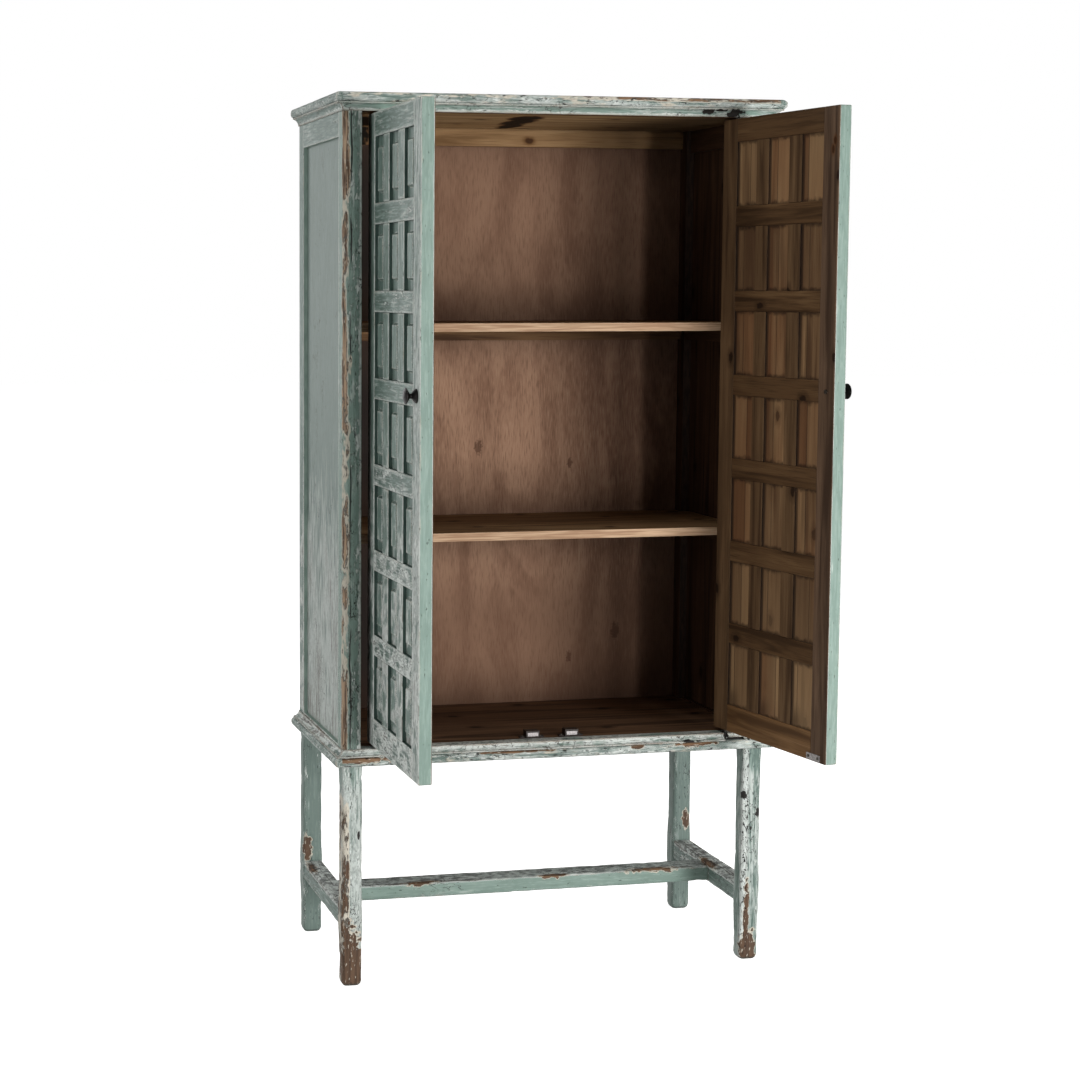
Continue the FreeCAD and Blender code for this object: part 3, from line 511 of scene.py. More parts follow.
# Painted shade: the inner walls take a darker stain.
wall_wood = stained_wood("wall_wood", UP, UMBER_SHADE, "YZ")
wall_deep = stained_wood("wall_wood_deep", DEEP, UMBER_SHADE, "YZ")
print("finishes:", len(bpy.data.materials))

# %% [markdown]
# The back is one thin sheet of reddish ply. Peeled veneer has no rings or boards, only short upright
# flecks over a cloudy figure. Painted shade darkens the upper and lower spaces and the corners, and a
# painted shadow makes its left end black.

# %% The ply back
PLY_MIDDLE = (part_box("back_panel")[0].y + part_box("back_panel")[1].y) / 2
PLY_KNOTS = (
    (-53, 216, 1127, 9, 20, 16),
    (172, 216, 1086, 6, 20, 11),
    (290, 216, 682, 10, 20, 18),
    (174, 216, 623, 6, 20, 12),
)


def plywood(name):
    """Thin reddish ply with short upright flecks and a broad figure."""
    finish, place = new_finish(name)
    fleck = speckle(place, 420, 3, UP, 0.10)
    figure = speckle(place, 7, 5, UP, 0.30, 1.5)
    colour = figure.step(0.38, 0.62).over(tint(132, 98, 77), tint(166, 130, 105))
    colour = (fleck.step(0.50, 0.70) * 0.42).over(colour, tint(84, 58, 44))
    colour = (fleck.step(0.48, 0.30) * 0.35).over(colour, tint(180, 146, 119))
    # Painted shade: the upper and lower spaces are darker.
    painted_shade_rows = (place.z.step(0.95, 0.72) * 0.60).most(place.z.step(1.38, 1.48) * 0.42)
    colour = painted_shade_rows.over(colour, tint(108, 78, 60))
    # Painted shadow: the inner face turns near black at its left end.
    corner = place.x.step(-0.25, -0.32) * place.y.step(PLY_MIDDLE + 0.001, PLY_MIDDLE)
    colour = (corner * 0.97).over(colour, tint(16, 11, 9))
    colour = (patches(place, PLY_KNOTS, 1.2, 190) * 0.6).over(colour, tint(66, 38, 25))
    # Painted shade from far-reaching ambient occlusion darkens the ply near the shelves and sides.
    colour = crevice_dirt_and_shade(place, 0.14, 0.95).over(colour, tint(70, 50, 38))
    close_finish(place, colour, 0.62 + fleck * 0.1, fleck, 0.0003, shine=0.12)
    return finish


ply_back = plywood("ply_back")
print("middle of the ply:", round(PLY_MIDDLE, 4))

# %% [markdown]
# Real boards have no knife-sharp corners. A bevel modifier could ease them, but it would leave the finish
# of each face to chance, so painted pieces are rebuilt and stand for their solids. `dress` asks a pick
# function which finish each face gets.

# %% Helpers that build and dress the pieces
SHARP_DEG = 50
LEVEL_FACE = 0.99


def add_board(mesh, low, high, ease):
    """A box with a small flat on every arris."""
    low, high = Vector(low), Vector(high)
    shape = Matrix.LocRotScale((low + high) / 2, None, high - low)
    box = bmesh.ops.create_cube(mesh, size=1.0, matrix=shape)
    edges = dict.fromkeys(edge for corner in box["verts"] for edge in corner.link_edges)
    bmesh.ops.bevel(mesh, geom=list(edges), offset=ease, segments=1, affect="EDGES")


def add_loft(mesh, rings):
    """Skin over outlines that have the same number of points, with both ends closed."""
    rows = [[mesh.verts.new(point) for point in ring] for ring in rings]
    for lower, upper in zip(rows, rows[1:]):
        for n in range(len(lower)):
            mesh.faces.new((lower[n - 1], lower[n], upper[n], upper[n - 1]))
    mesh.faces.new(rows[0])
    mesh.faces.new(rows[-1])


def body_of(node):
    for body in ("left_door", "right_door"):
        if node.startswith(body + "_"):
            return body
    return "case"


def dress(node, mesh, finishes, pick, turn=Matrix(), smooth=False):
    """Make the piece that stands for a solid; pick chooses the finish of each face."""
    bmesh.ops.recalc_face_normals(mesh, faces=mesh.faces)
    for face in mesh.faces:
        face.material_index = finishes.index(pick(face.normal, face.calc_center_median()))
        face.smooth = smooth and abs(face.normal.z) < LEVEL_FACE
    data = bpy.data.meshes.new(node + "_dressed")
    mesh.to_mesh(data)
    mesh.free()
    for finish in finishes:
        data.materials.append(finish)
    if smooth:
        data.set_sharp_from_angle(angle=math.radians(SHARP_DEG))
    piece = link(bpy.data.objects.new(node + "_dressed", data))
    piece.matrix_world = turn
    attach(piece, body_of(node))
    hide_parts(node)


print("bodies:", sorted({body_of(node) for node in frame["nodes"]}))

# %% [markdown]
# Each door is a frame round twenty-one fielded panels. Built where it stands open, every board would be
# slanted. It is built closed and turned at the end, so its sizes stay readable.

# %% Sizes of the doors
FRONT = -0.226
HINGE_X = 0.433
DOOR_W = 0.4315
DOOR_T = 0.028
DOOR_LOW = 0.524
DOOR_HIGH = 1.859
STILE_W = 0.055
TOP_RAIL_H = 0.050
BOTTOM_RAIL_H = 0.060
MID_RAIL_H = 0.044
MUNTIN_W = 0.046
ROWS = 7
COLUMNS = 3
PIVOT = (0.399, -0.212)
OPEN_DEG = {"left": 90.0, "right": 99.0}
SIDES = {"left": -1, "right": 1}

PANEL_W = (DOOR_W - 2 * STILE_W - (COLUMNS - 1) * MUNTIN_W) / COLUMNS
PANEL_H = (DOOR_HIGH - DOOR_LOW - TOP_RAIL_H - BOTTOM_RAIL_H - (ROWS - 1) * MID_RAIL_H) / ROWS
COLUMN_PITCH = PANEL_W + MUNTIN_W
ROW_PITCH = PANEL_H + MID_RAIL_H
ROW_LOW = [DOOR_HIGH - TOP_RAIL_H - PANEL_H - row * ROW_PITCH for row in range(ROWS)]
COLUMN_AT = [STILE_W + column * COLUMN_PITCH for column in range(COLUMNS)]
print("panel:", round(PANEL_W, 4), "x", round(PANEL_H, 4))

# %% [markdown]
# On the inside, each panel is two boards of their own tone, with a painted shadow strip on its hinge side,
# painted shade near the rails, and lighter lower rows as painted light.
# Instead of a finish for each of forty-two panels, one finish finds its row and column from the place, and
# a white noise of these gives each board its tone.

# %% Boards inside the doors
HINGE_SHADOW_W = 0.007
BOARD_SPLIT = 0.040
BOARD_SHIFT = 0.022
BOARD_TONES = (tint(84, 61, 42), tint(130, 101, 71), tint(166, 134, 97))
BOARD_RED = tint(126, 82, 52)
BOARD_STAIN_AND_SHADE = tint(34, 23, 16)


def panel_boards(name):
    """Inner face of the panels."""
    finish, place = new_finish(name)
    colour, height = grain_of(place, UP, BOARD_TONES)
    column = (HINGE_X - STILE_W - abs(place.x)) / COLUMN_PITCH
    row = (DOOR_HIGH - TOP_RAIL_H - place.z) / ROW_PITCH
    in_panel = (column - column.floor()) * COLUMN_PITCH
    in_row = (row - row.floor()) * ROW_PITCH
    side = place.x.step(-0.001, 0.001)

    def chance(extra):
        where = {"X": column.floor() * 2 + extra, "Y": row.floor(), "Z": side}
        cell = place.node("ShaderNodeCombineXYZ", where)
        return place.node("ShaderNodeTexWhiteNoise", {"Vector": cell}, "Value")

    border = in_panel - BOARD_SPLIT - (chance(7.5) - 0.5) * (2 * BOARD_SHIFT)
    tone = chance(border.step(-0.0005, 0.0005))
    colour = (tone.step(0.4, 1.0) * 0.6).over(colour, BOARD_TONES[2])
    colour = (tone.step(0.6, 0.0) * 0.7).over(colour, BOARD_TONES[0])
    # Painted light: the boards of the lower rows are lighter.
    colour = (row.step(4.0, 6.5) * 0.30).over(colour, BOARD_TONES[2])
    reddish = speckle(place, 14, 2, UP, 0.3) * 0.4 + chance(3.5) * 0.3
    colour = (reddish.step(0.34, 0.50) * 0.4).over(colour, BOARD_RED)
    # Painted shadow: a dark strip on the hinge side of each panel.
    hinge_shadow = in_panel.step(HINGE_SHADOW_W + 0.003, HINGE_SHADOW_W - 0.003) * 0.8
    split = abs(border).step(0.0018, 0.0006) * 0.6
    # Painted shade near the rails at the panel ends. The split is a dark joint, and damp is a stain.
    ends = in_row.least(PANEL_H - in_row) + (speckle(place, 60, 3) - 0.5) * 0.02
    damp = row.step(ROWS - 0.55, ROWS - 0.30) * in_panel.step(0.055, 0.010) * 0.6
    shade = hinge_shadow.most(split).most(ends.step(0.010, 0.000) * 0.7).most(damp)
    colour = shade.over(colour, BOARD_STAIN_AND_SHADE)
    close_finish(place, colour, 0.62 + height * 0.1, height - split, 0.0006, shine=0.12)
    return finish


inside_boards = panel_boards("inside_boards")
print("panels in each door:", ROWS * COLUMNS)

# %% [markdown]
# The other faces of a door: dark walls round the sunk panels, a smooth free edge that ends in a thin pale
# line, and stained members in slightly different tones, since boards from one tree still differ. The
# bottom rail's stain is a lighter copy, as painted light.

# %% Other finishes of the doors
WALL = (tint(46, 64, 58), tint(68, 88, 81))
WALL_STAIN = (tint(30, 21, 15), tint(66, 48, 34))
STILE_TONES = (tint(68, 52, 41), tint(102, 81, 64), tint(124, 99, 79))
STILE_KNOTS = ((16, -198, 1790, 6, 20, 12), (22, -198, 1772, 6, 20, 12))
MUNTIN_TONES = (tint(66, 48, 33), tint(100, 77, 54), tint(126, 99, 71))
RAIL_TONES = (tint(60, 43, 28), tint(94, 70, 47), tint(120, 93, 64))
# Painted light: a lighter copy of the rail stain for the bottom rail.
LOW_RAIL_LIT_TONES = (tint(84, 60, 38), tint(126, 94, 62), tint(152, 118, 82))


def wall_finish(name, outer, stain, paint, rough, depth):
    """Narrow walls round a panel: paint where outer is 1, and stain where it is 0."""
    finish, place = new_finish(name)
    mottle = speckle(place, 150, 3, UP, 0.2)
    shade = mottle.step(0.3, 0.7)
    colour = outer(place).over(shade.over(*stain), shade.over(*paint))
    close_finish(place, colour, rough + mottle * 0.1, mottle, depth)
    return finish


paint_free = old_paint("rubbed_paint_free_stile", UP, RUBBED, 0.72, 0.66, worn=low_wear)
cream_line = ramp("Y", FRONT + DOOR_T - 0.0032, FRONT + DOOR_T - 0.0022, 0.22)
paint_edge = old_paint("smooth_paint_edge", UP, SMOOTH, 0.15, 0.0, worn=cream_line)
panel_reveal = wall_finish(
    "panel_reveal", lambda place: place.y.step(FRONT + 0.018, FRONT + 0.015), WALL_STAIN, WALL, 0.65, 0.0004
)
free_stile_wood = stained_wood("free_stile_wood", UP, STILE_TONES, knots=STILE_KNOTS)
muntin_wood = stained_wood("muntin_wood", UP, MUNTIN_TONES)
rail_inside = stained_wood("rail_inside", ACROSS, RAIL_TONES)
low_inside = stained_wood("low_rail_inside", ACROSS, LOW_RAIL_LIT_TONES)
print("finishes:", len(bpy.data.materials))

# %% [markdown]
# A fielded panel has a sunk border and a raised middle, with a slope between. From a box that takes
# several insets; four outlines and a loft give it at once. Its rim goes under the frame, to keep out light.

# %% Shapes of the door pieces
PANEL_SINK = 0.009
PANEL_INSIDE = 0.024
FIELD_DEPTH = 0.003
FIELD_SIDE = 0.019
FIELD_END = 0.025
FIELD_SLOPE = 0.004
TUCK = 0.002
DOOR_EASE = 0.0015


def door_turn(name):
    """The turn from closed to the angle at which the door stands."""
    side = SIDES[name]
    pivot = Vector((side * PIVOT[0], PIVOT[1], 0))
    swing = Matrix.Rotation(math.radians(side * OPEN_DEG[name]), 4, "Z")
    return Matrix.Translation(pivot) @ swing @ Matrix.Translation(-pivot)


def door_board(mesh, side, s0, s1, z0, z1):
    """A frame member between two distances from the hinge edge."""
    across = sorted((side * (HINGE_X - s0), side * (HINGE_X - s1)))
    add_board(mesh, (across[0], FRONT, z0), (across[1], FRONT + DOOR_T, z1), DOOR_EASE)


def door_panel(mesh, side, s0, z0):
    """A fielded panel, from its inner face to its raised field."""
    rings = []
    for depth, in_s, in_z in (
        (PANEL_INSIDE, -TUCK, -TUCK),
        (PANEL_SINK, -TUCK, -TUCK),
        (PANEL_SINK, FIELD_SIDE - FIELD_SLOPE, FIELD_END - FIELD_SLOPE),
        (FIELD_DEPTH, FIELD_SIDE, FIELD_END),
    ):
        s = (s0 + in_s, s0 + PANEL_W - in_s)
        z = (z0 + in_z, z0 + PANEL_H - in_z)
        outline = ((s[0], z[0]), (s[1], z[0]), (s[1], z[1]), (s[0], z[1]))
        rings.append([(side * (HINGE_X - a), FRONT + depth, b) for a, b in outline])
    add_loft(mesh, rings)


FREE_AT = DOOR_W - STILE_W
MUNTIN_SPANS = [(s - MUNTIN_W, s, z, z + PANEL_H) for z, s in product(ROW_LOW, COLUMN_AT[1:])]
MEMBERS = {
    "hinge_stile": (paint_upright, muntin_wood, [(0, STILE_W, DOOR_LOW, DOOR_HIGH)]),
    "free_stile": (paint_free, free_stile_wood, [(FREE_AT, DOOR_W, DOOR_LOW, DOOR_HIGH)]),
    "top_rail": (paint_across, rail_inside, [(STILE_W, FREE_AT, DOOR_HIGH - TOP_RAIL_H, DOOR_HIGH)]),
    "bottom_rail": (paint_across, low_inside, [(STILE_W, FREE_AT, DOOR_LOW, DOOR_LOW + BOTTOM_RAIL_H)]),
    "mid_rails": (paint_across, rail_inside, [(STILE_W, FREE_AT, z - MID_RAIL_H, z) for z in ROW_LOW[:-1]]),
    "muntins": (paint_upright, muntin_wood, MUNTIN_SPANS),
}
print("muntins in each door:", len(MUNTIN_SPANS))

# %% [markdown]
# Each face gets its finish by the way it looks: paint in front, stain behind, smooth paint on the outer
# rim and dark walls round the panels. The fields are lighter than their sunk borders.

# %% Doors
FACING = 0.3
RIM_REACH = 0.003
FIELD_REACH = 0.0005


def member_face(outside, inside):
    """Finish of a frame member's face, by the way it looks and where it is."""
    def pick(normal, centre):
        if normal.y < -FACING:
            return outside
        if normal.y > FACING:
            return inside
        s = HINGE_X - abs(centre.x)
        at_rim = min(s, DOOR_W - s, centre.z - DOOR_LOW, DOOR_HIGH - centre.z) < RIM_REACH
        return paint_edge if at_rim else panel_reveal
    return [outside, inside, paint_edge, panel_reveal], pick


def panel_face(normal, centre):
    if normal.y > FACING:
        return inside_boards
    return paint_field if centre.y < FRONT + FIELD_DEPTH + FIELD_REACH else paint_sunk


for name, side in SIDES.items():
    for piece, (outside, inside, spans) in MEMBERS.items():
        mesh = bmesh.new()
        for span in spans:
            door_board(mesh, side, *span)
        dress(name + "_door_" + piece, mesh, *member_face(outside, inside), door_turn(name))
    mesh = bmesh.new()
    for z, s in product(ROW_LOW, COLUMN_AT):
        door_panel(mesh, side, s, z)
    dress(name + "_door_panels", mesh, [paint_field, paint_sunk, inside_boards], panel_face, door_turn(name))
print("door members dressed:", 2 * (len(MEMBERS) + 1))

# %% [markdown]
# The legs and stretchers were shaped by hand. A straight box with noise on it would only look rough, so
# each is a loft of rounded squares whose width and middle wander by a millimetre, with chipped corners.

# %% Hand-shaped beams
LEG_X = 0.4555
LEG_Y = 0.2035
FOOT_LEVELS = ((0.0, 0.0170), (0.004, 0.0200), (0.011, 0.02175))
LEG_LEVELS = FOOT_LEVELS + ((0.072, 0.02175), (0.117, 0.0235), (0.178, 0.0235), (0.223, 0.0220))
LEG_LEVELS += ((0.445, 0.0220), (0.483, 0.0225))
LEG_TOP = LEG_LEVELS[-1][0]
LEG_ROUND = 0.009
LEG_TOP_ROUND = 0.004
LEG_FLARE = 0.038
WANDER = 0.0010
CHIP = 0.0040
CHIP_BEGIN = 0.15
SWAYS_PER_M = 9
DENTS_PER_M = 14
CHIPS_PER_M = 45
CORNER_POINTS = 6
LOFT_STEP = 0.007


def between(levels, z):
    """Value at z from a list of (z, value)."""
    for (z0, v0), (z1, v1) in zip(levels, levels[1:]):
        if z <= z1:
            return v0 + (v1 - v0) * (z - z0) / (z1 - z0)
    return levels[-1][1]


def wander(*spot):
    return noise.noise(Vector(spot)) * WANDER


def beam_ring(half_u, half_v, round_r, along, seed):
    """Outline of a hand-shaped beam's section at one station along it."""
    ring = []
    shift_u = wander(along * SWAYS_PER_M, seed, 0)
    shift_v = wander(along * SWAYS_PER_M, seed, 5)
    u0 = half_u - abs(wander(along * DENTS_PER_M, seed, 9))
    v0 = half_v - abs(wander(along * DENTS_PER_M, seed, 13))
    for quarter, (right, up) in enumerate(((1, 1), (-1, 1), (-1, -1), (1, -1))):
        for n in range(CORNER_POINTS):
            angle = math.radians(90 * quarter + 90 / (CORNER_POINTS - 1) * n)
            u = right * (u0 - round_r) + round_r * math.cos(angle)
            v = up * (v0 - round_r) + round_r * math.sin(angle)
            worn = noise.noise(Vector((along * CHIPS_PER_M, quarter * 7 + n * 0.35, seed)))
            keep = 1 - CHIP * max(0.0, worn - CHIP_BEGIN) / half_u
            u = max(-half_u, min(half_u, shift_u + u * keep))
            v = max(-half_v, min(half_v, shift_v + v * keep))
            ring.append((u, v))
    return ring


def stations(first, last):
    count = max(2, round((last - first) / LOFT_STEP))
    return [first + (last - first) * n / count for n in range(count + 1)]


def dress_beam(node, rings, finish):
    """A lofted piece with one finish all over."""
    mesh = bmesh.new()
    add_loft(mesh, rings)
    dress(node, mesh, [finish], lambda normal, centre: finish, smooth=True)


print("stations in a leg:", len(stations(FOOT_LEVELS[-1][0], LEG_TOP)))

# %% [markdown]
# Feet and corners are worn to the wood, and the front legs have lost most of their green. Where the wear
# sits was read from the photograph: a few blobs and bands, with borders that noise makes ragged.

# %% Legs
LEG_RAW = tint(98, 75, 57)
ARRIS_X = 0.441
FOOT_STATIONS = [0.0, 0.002, 0.004, 0.0075]
LEG_BARE = (
    (-453, -226, 40, 21, 24, 75),
    (452, -226, 20, 18, 24, 45),
    (447, -226, 90, 6, 14, 85),
    (-470, 184, 200, 12, 14, 26),
    (464, 182, 216, 10, 14, 22),
)
LEG_NAILS = (
    (437, -222, 374, 6, 12, 9),
    (472, -226, 334, 7, 12, 10),
    (454, -227, 300, 3, 12, 4),
    (-442, -226, 330, 3, 12, 10),
)


def leg_strip(place):
    """Bare wood: the outer corner of the front left leg, the front feet, and chips on the back legs."""
    corner = place.x.step(-0.458, -0.466) * place.y.step(-0.17, -0.18) * place.z.step(0.45, 0.38)
    return patches(place, LEG_BARE, 1.0, 70, 0.6) * 0.55 + corner * 0.28


def inner_arris(place):
    """1 along the inner front corner of the right leg."""
    return abs(place.x - ARRIS_X).step(0.010, 0.004) * place.y.step(-0.205, -0.215)


def leg_worn(place):
    """The left leg's front and one corner of the right leg are the chalkiest, and the tops the least."""
    front = place.y.step(-0.214, -0.222) * 0.06 - place.z.step(0.41, 0.46) * 0.14
    return front - place.x.step(0.0, 0.1) * 0.08 + inner_arris(place) * 0.20


def leg_holes(place):
    """Nail holes, and black specks along the chalky corner."""
    specks = speckle(place, 190, 2, UP, 0.5).step(0.61, 0.64) * inner_arris(place)
    return patches(place, LEG_NAILS, 0.8, 120, 0.15).most(specks)


leg_paints = {
    "front": old_paint(
        "chalky_paint_leg", UP, RUBBED, 0.80, 0.70, bare=0.16, crack=0.3,
        worn=leg_worn, strip=leg_strip, holes=leg_holes, raw=LEG_RAW,
    ),
    "back": old_paint(
        "green_paint_leg", UP, CALM, 0.36, 0.46, bare=0.05, crack=0.3, strip=leg_strip, raw=LEG_RAW
    ),
}

for seed, (name, end) in enumerate(product(SIDES, leg_paints)):
    mid_x = SIDES[name] * LEG_X
    mid_y = LEG_Y if end == "back" else -LEG_Y
    rings = []
    for z in FOOT_STATIONS + stations(FOOT_LEVELS[-1][0], LEG_TOP):
        half = between(LEG_LEVELS, z)
        share = max(0.0, (z - LEG_TOP + LEG_FLARE) / LEG_FLARE)
        round_r = LEG_ROUND + (LEG_TOP_ROUND - LEG_ROUND) * share
        rings.append([(mid_x + u, mid_y + v, z) for u, v in beam_ring(half, half, round_r, z, seed * 3.1)])
    dress_beam(end + "_" + name + "_leg", rings, leg_paints[end])
print("outlines in a leg:", len(rings))

# %% [markdown]
# Two short stretchers run from front to back and a flat one ties them: the same loft, laid on its side.
# Shoes and dust have rubbed their upper arrises and darkened their tops.

# %% Stretchers
SIDE_HALF = (0.021, 0.0225)
SIDE_Z = 0.1475
SIDE_REACH = 0.185
CENTRE_HALF = (0.033, 0.017)
CENTRE_Z = 0.146
CENTRE_REACH = 0.437
BEAM_ROUND = 0.005
STRETCHER_BARE = (
    (300, -26, 163, 60, 12, 10),
    (60, -30, 163, 35, 8, 8),
    (-250, -28, 163, 45, 8, 8),
    (-470, 120, 168, 10, 40, 10),
    (440, -20, 168, 12, 50, 10),
)


def top_grime(place):
    """Dark weathering that lies on the upper faces."""
    mottle = speckle(place.vector("MULTIPLY", (0.3, 0.3, 1.0)), 160, 3)
    return place.z.step(0.1600, 0.1640) * mottle.step(0.44, 0.60) * 0.65


ON_TOP = {
    "worn": ramp("Z", 0.1575, 0.1625, 0.32),
    "strip": lambda place: patches(place, STRETCHER_BARE, 1.0, 70, 0.6) * 0.45,
    "holes": top_grime,
}
paint_rail_x = old_paint("worn_paint_across", ACROSS, SMOOTH, 0.25, 0.25, bare=0.12, crack=0.1, **ON_TOP)
paint_rail_y = old_paint("worn_paint_deep", DEEP, RUBBED, 0.46, 0.72, bare=0.14, crack=1.0, **ON_TOP)

for seed, name in enumerate(SIDES):
    rings = []
    for y in stations(-SIDE_REACH, SIDE_REACH):
        outline = beam_ring(*SIDE_HALF, BEAM_ROUND, y, 20 + seed)
        rings.append([(SIDES[name] * LEG_X + u, y, SIDE_Z + v) for u, v in outline])
    dress_beam(name + "_stretcher", rings, paint_rail_y)

rings = []
for x in stations(-CENTRE_REACH, CENTRE_REACH):
    rings.append([(x, u, CENTRE_Z + v) for u, v in beam_ring(*CENTRE_HALF, BEAM_ROUND, x, 31)])
dress_beam("centre_stretcher", rings, paint_rail_x)
print("outlines in the centre stretcher:", len(rings))

# %% [markdown]
# The slabs over and under the case have a rounded nose that has lost most of its paint. Bump alone would
# leave its outline straight, so the nose is swept as rows of points, each pushed inwards by noise.

# %% Shape of the slabs
SLAB_HALF = 0.498
SLAB_FRONT = -0.246
SLAB_BACK = 0.226
NOSE_R = 0.008
NOSE_CHIP = 0.0030
NOSE_CHIP_BEGIN = 0.1
NOSE_CHIPS_PER_M = (30, 130)
NOSE_WAVES_PER_M = 8
NOSE_STEP = 0.008
NOSE_DEGREES = range(0, 91, 15)


def nose_path():
    """Points round the slab's left, front and right edges, with the way out at each."""
    deep = stations(SLAB_FRONT + NOSE_STEP, SLAB_BACK)
    wide = stations(-SLAB_HALF + NOSE_STEP, SLAB_HALF - NOSE_STEP)
    path = [((-SLAB_HALF, y), (-1, 0)) for y in reversed(deep)]
    path.append(((-SLAB_HALF, SLAB_FRONT), (-1, -1)))
    path += [((x, SLAB_FRONT), (0, -1)) for x in wide]
    path.append(((SLAB_HALF, SLAB_FRONT), (1, -1)))
    return path + [((SLAB_HALF, y), (1, 0)) for y in deep]


def nose_profile(z0, z1):
    """(distance in from the edge, level) from the top face, round the nose, to the underside."""
    angles = [math.radians(degrees) for degrees in NOSE_DEGREES]
    turns = [(NOSE_R * math.sin(angle), NOSE_R * math.cos(angle)) for angle in angles]
    upper = [(NOSE_R - rise, z1 - NOSE_R + run) for rise, run in turns]
    return upper + [(NOSE_R - run, z0 + NOSE_R - rise) for rise, run in turns]


def add_slab(mesh, z0, z1, seed):
    """A slab whose nose is chipped inwards by a fine and a broad noise."""
    profile = nose_profile(z0, z1)
    rows = []
    for (x, y), (out_x, out_y) in nose_path():
        row = []
        along = x - y
        broad = 0.6 * noise.noise(Vector((along * NOSE_WAVES_PER_M, seed, 3)))
        for inset, z in profile:
            spot = (along * NOSE_CHIPS_PER_M[0], z * NOSE_CHIPS_PER_M[1], seed)
            worn = noise.noise(Vector(spot)) + broad
            back = min(NOSE_R, inset + NOSE_CHIP * max(0.0, worn - NOSE_CHIP_BEGIN))
            row.append(mesh.verts.new((x - out_x * back, y - out_y * back, z)))
        rows.append(row)
    for row, following in zip(rows, rows[1:]):
        for n in range(len(profile) - 1):
            mesh.faces.new((row[n], following[n], following[n + 1], row[n + 1]))
    mesh.faces.new([row[0] for row in rows])
    mesh.faces.new([row[-1] for row in rows])
    mesh.faces.new(rows[0] + rows[-1][::-1])


print("nose points:", len(nose_path()))

# %% [markdown]
# The nose is the most handled edge: its paint flakes off in small pieces, and it is bare along the top and
# at the left end of the base. The flat faces have the same paint as the rails.

# %% Top and base slabs
NOSE_END = 0.012
SLAB_FLAT = 0.95
SLABS = (("top_slab", 1.880, 1.900, 41), ("base_slab", 0.483, 0.503, 57))
NOSE_BARE = (
    (-445, -246, 498, 60, 14, 6),
    (315, -246, 502, 40, 14, 6),
    (180, -246, 500, 14, 14, 5),
    (-110, -246, 501, 80, 14, 2.5),
)


def nose_strip(place):
    """The upper half of the top nose is bare; the base nose is bare at its left end."""
    high = place.z.step(1.888, 1.894) * (place.x.step(-0.10, 0.25) * 0.16 + 0.08)
    return high + patches(place, NOSE_BARE, 1.0, 80, 0.6) * 0.5


def nose_holes(place):
    """Small black chips strewn along the nose."""
    return speckle(place, 130, 3, ACROSS, 0.4).step(0.645, 0.675) * 0.85


paint_nose = old_paint(
    "flaking_paint_nose", ACROSS, RUBBED, 0.70, 0.82, bare=0.44, crack=0.9,
    strip=nose_strip, holes=nose_holes,
)
paint_nose_side = old_paint("flaking_paint_nose_side", DEEP, RUBBED, 0.45, 0.76, bare=0.20, crack=0.9)


def slab_face(normal, centre):
    if abs(normal.z) > SLAB_FLAT:
        return paint_across
    return paint_nose_side if abs(centre.x) > SLAB_HALF - NOSE_END else paint_nose


for node, z0, z1, seed in SLABS:
    mesh = bmesh.new()
    add_slab(mesh, z0, z1, seed)
    dress(node, mesh, [paint_across, paint_nose, paint_nose_side], slab_face, smooth=True)
print("slabs dressed:", len(SLABS))

# %% [markdown]
# The front posts have a rounded outer corner that stops short of both ends. A loft lets its radius grow,
# waver and shrink again along the height, which a bevel of one width can't do.

# %% Shape of the posts
SIDE_X = 0.478
POST_IN = 0.438
POST_BACK = -0.180
POST_LOW = 0.503
POST_HIGH = 1.880
POST_ROUND = 0.013
ROUND_LOW = 0.527
ROUND_HIGH = 1.853
ROUND_RUN = 0.006
POST_EASE = 0.001
POST_WANDER = 1.8
POST_WAVES_PER_M = 11
CORNER_DEGREES = [11.25 * n for n in range(9)]


def post_round(z, seed):
    """Radius of the worn corner at a level."""
    inside = min(z - ROUND_LOW, ROUND_HIGH - z)
    share = min(1.0, max(0.0, inside / ROUND_RUN))
    waver = POST_WANDER * wander(z * POST_WAVES_PER_M, seed, 2)
    return POST_EASE + (POST_ROUND - POST_EASE) * share + waver * share


def post_ring(side, z, seed):
    """Outline of a front post at a level."""
    radius = post_round(z, seed)
    ring = [(POST_IN, POST_BACK), (POST_IN, FRONT + POST_EASE), (POST_IN + POST_EASE, FRONT)]
    for angle in map(math.radians, CORNER_DEGREES):
        x = SIDE_X - radius + radius * math.sin(angle)
        ring.append((x, FRONT + radius - radius * math.cos(angle)))
    ring.append((SIDE_X, POST_BACK))
    return [(side * x, y, z) for x, y in ring]


print("levels in a post:", len(stations(POST_LOW, POST_HIGH)))

# %% [markdown]
# The rounded corner is worn to raw wood, brown at both ends and pale between, and a dark broken line
# marks where the paint of the front begins. The side panels are calm paint, chalky towards the floor.

# %% Finishes of the case
POST_RAW = tint(174, 148, 122)
CRACK_IN = 0.017


def corner_strip(place):
    """Raw wood along the rounded corner of the front posts."""
    in_x = SIDE_X - abs(place.x)
    in_y = place.y - FRONT
    ragged = speckle(place, 60, 4, UP, 0.15) - 0.5
    ends = place.z.step(1.64, 1.74).most(place.z.step(0.74, 0.62))
    change = speckle(place, 22, 2, UP, 0.4).step(0.42, 0.58)
    amount = ends.most(change * 0.5) * 0.30 + 0.25
    return (in_x.most(in_y) + ragged * 0.022).step(0.0200, 0.0060) * amount


def post_crack(place):
    """A dark broken line where the worn corner meets the paint of the front."""
    in_x = SIDE_X - abs(place.x)
    wave = (speckle(place, 30, 3, UP, 0.3) - 0.5) * 0.012
    line = abs(in_x + wave - CRACK_IN).step(0.0018, 0.0009)
    return line * speckle(place, 18, 2, UP, 0.4).step(0.40, 0.50) * 0.9


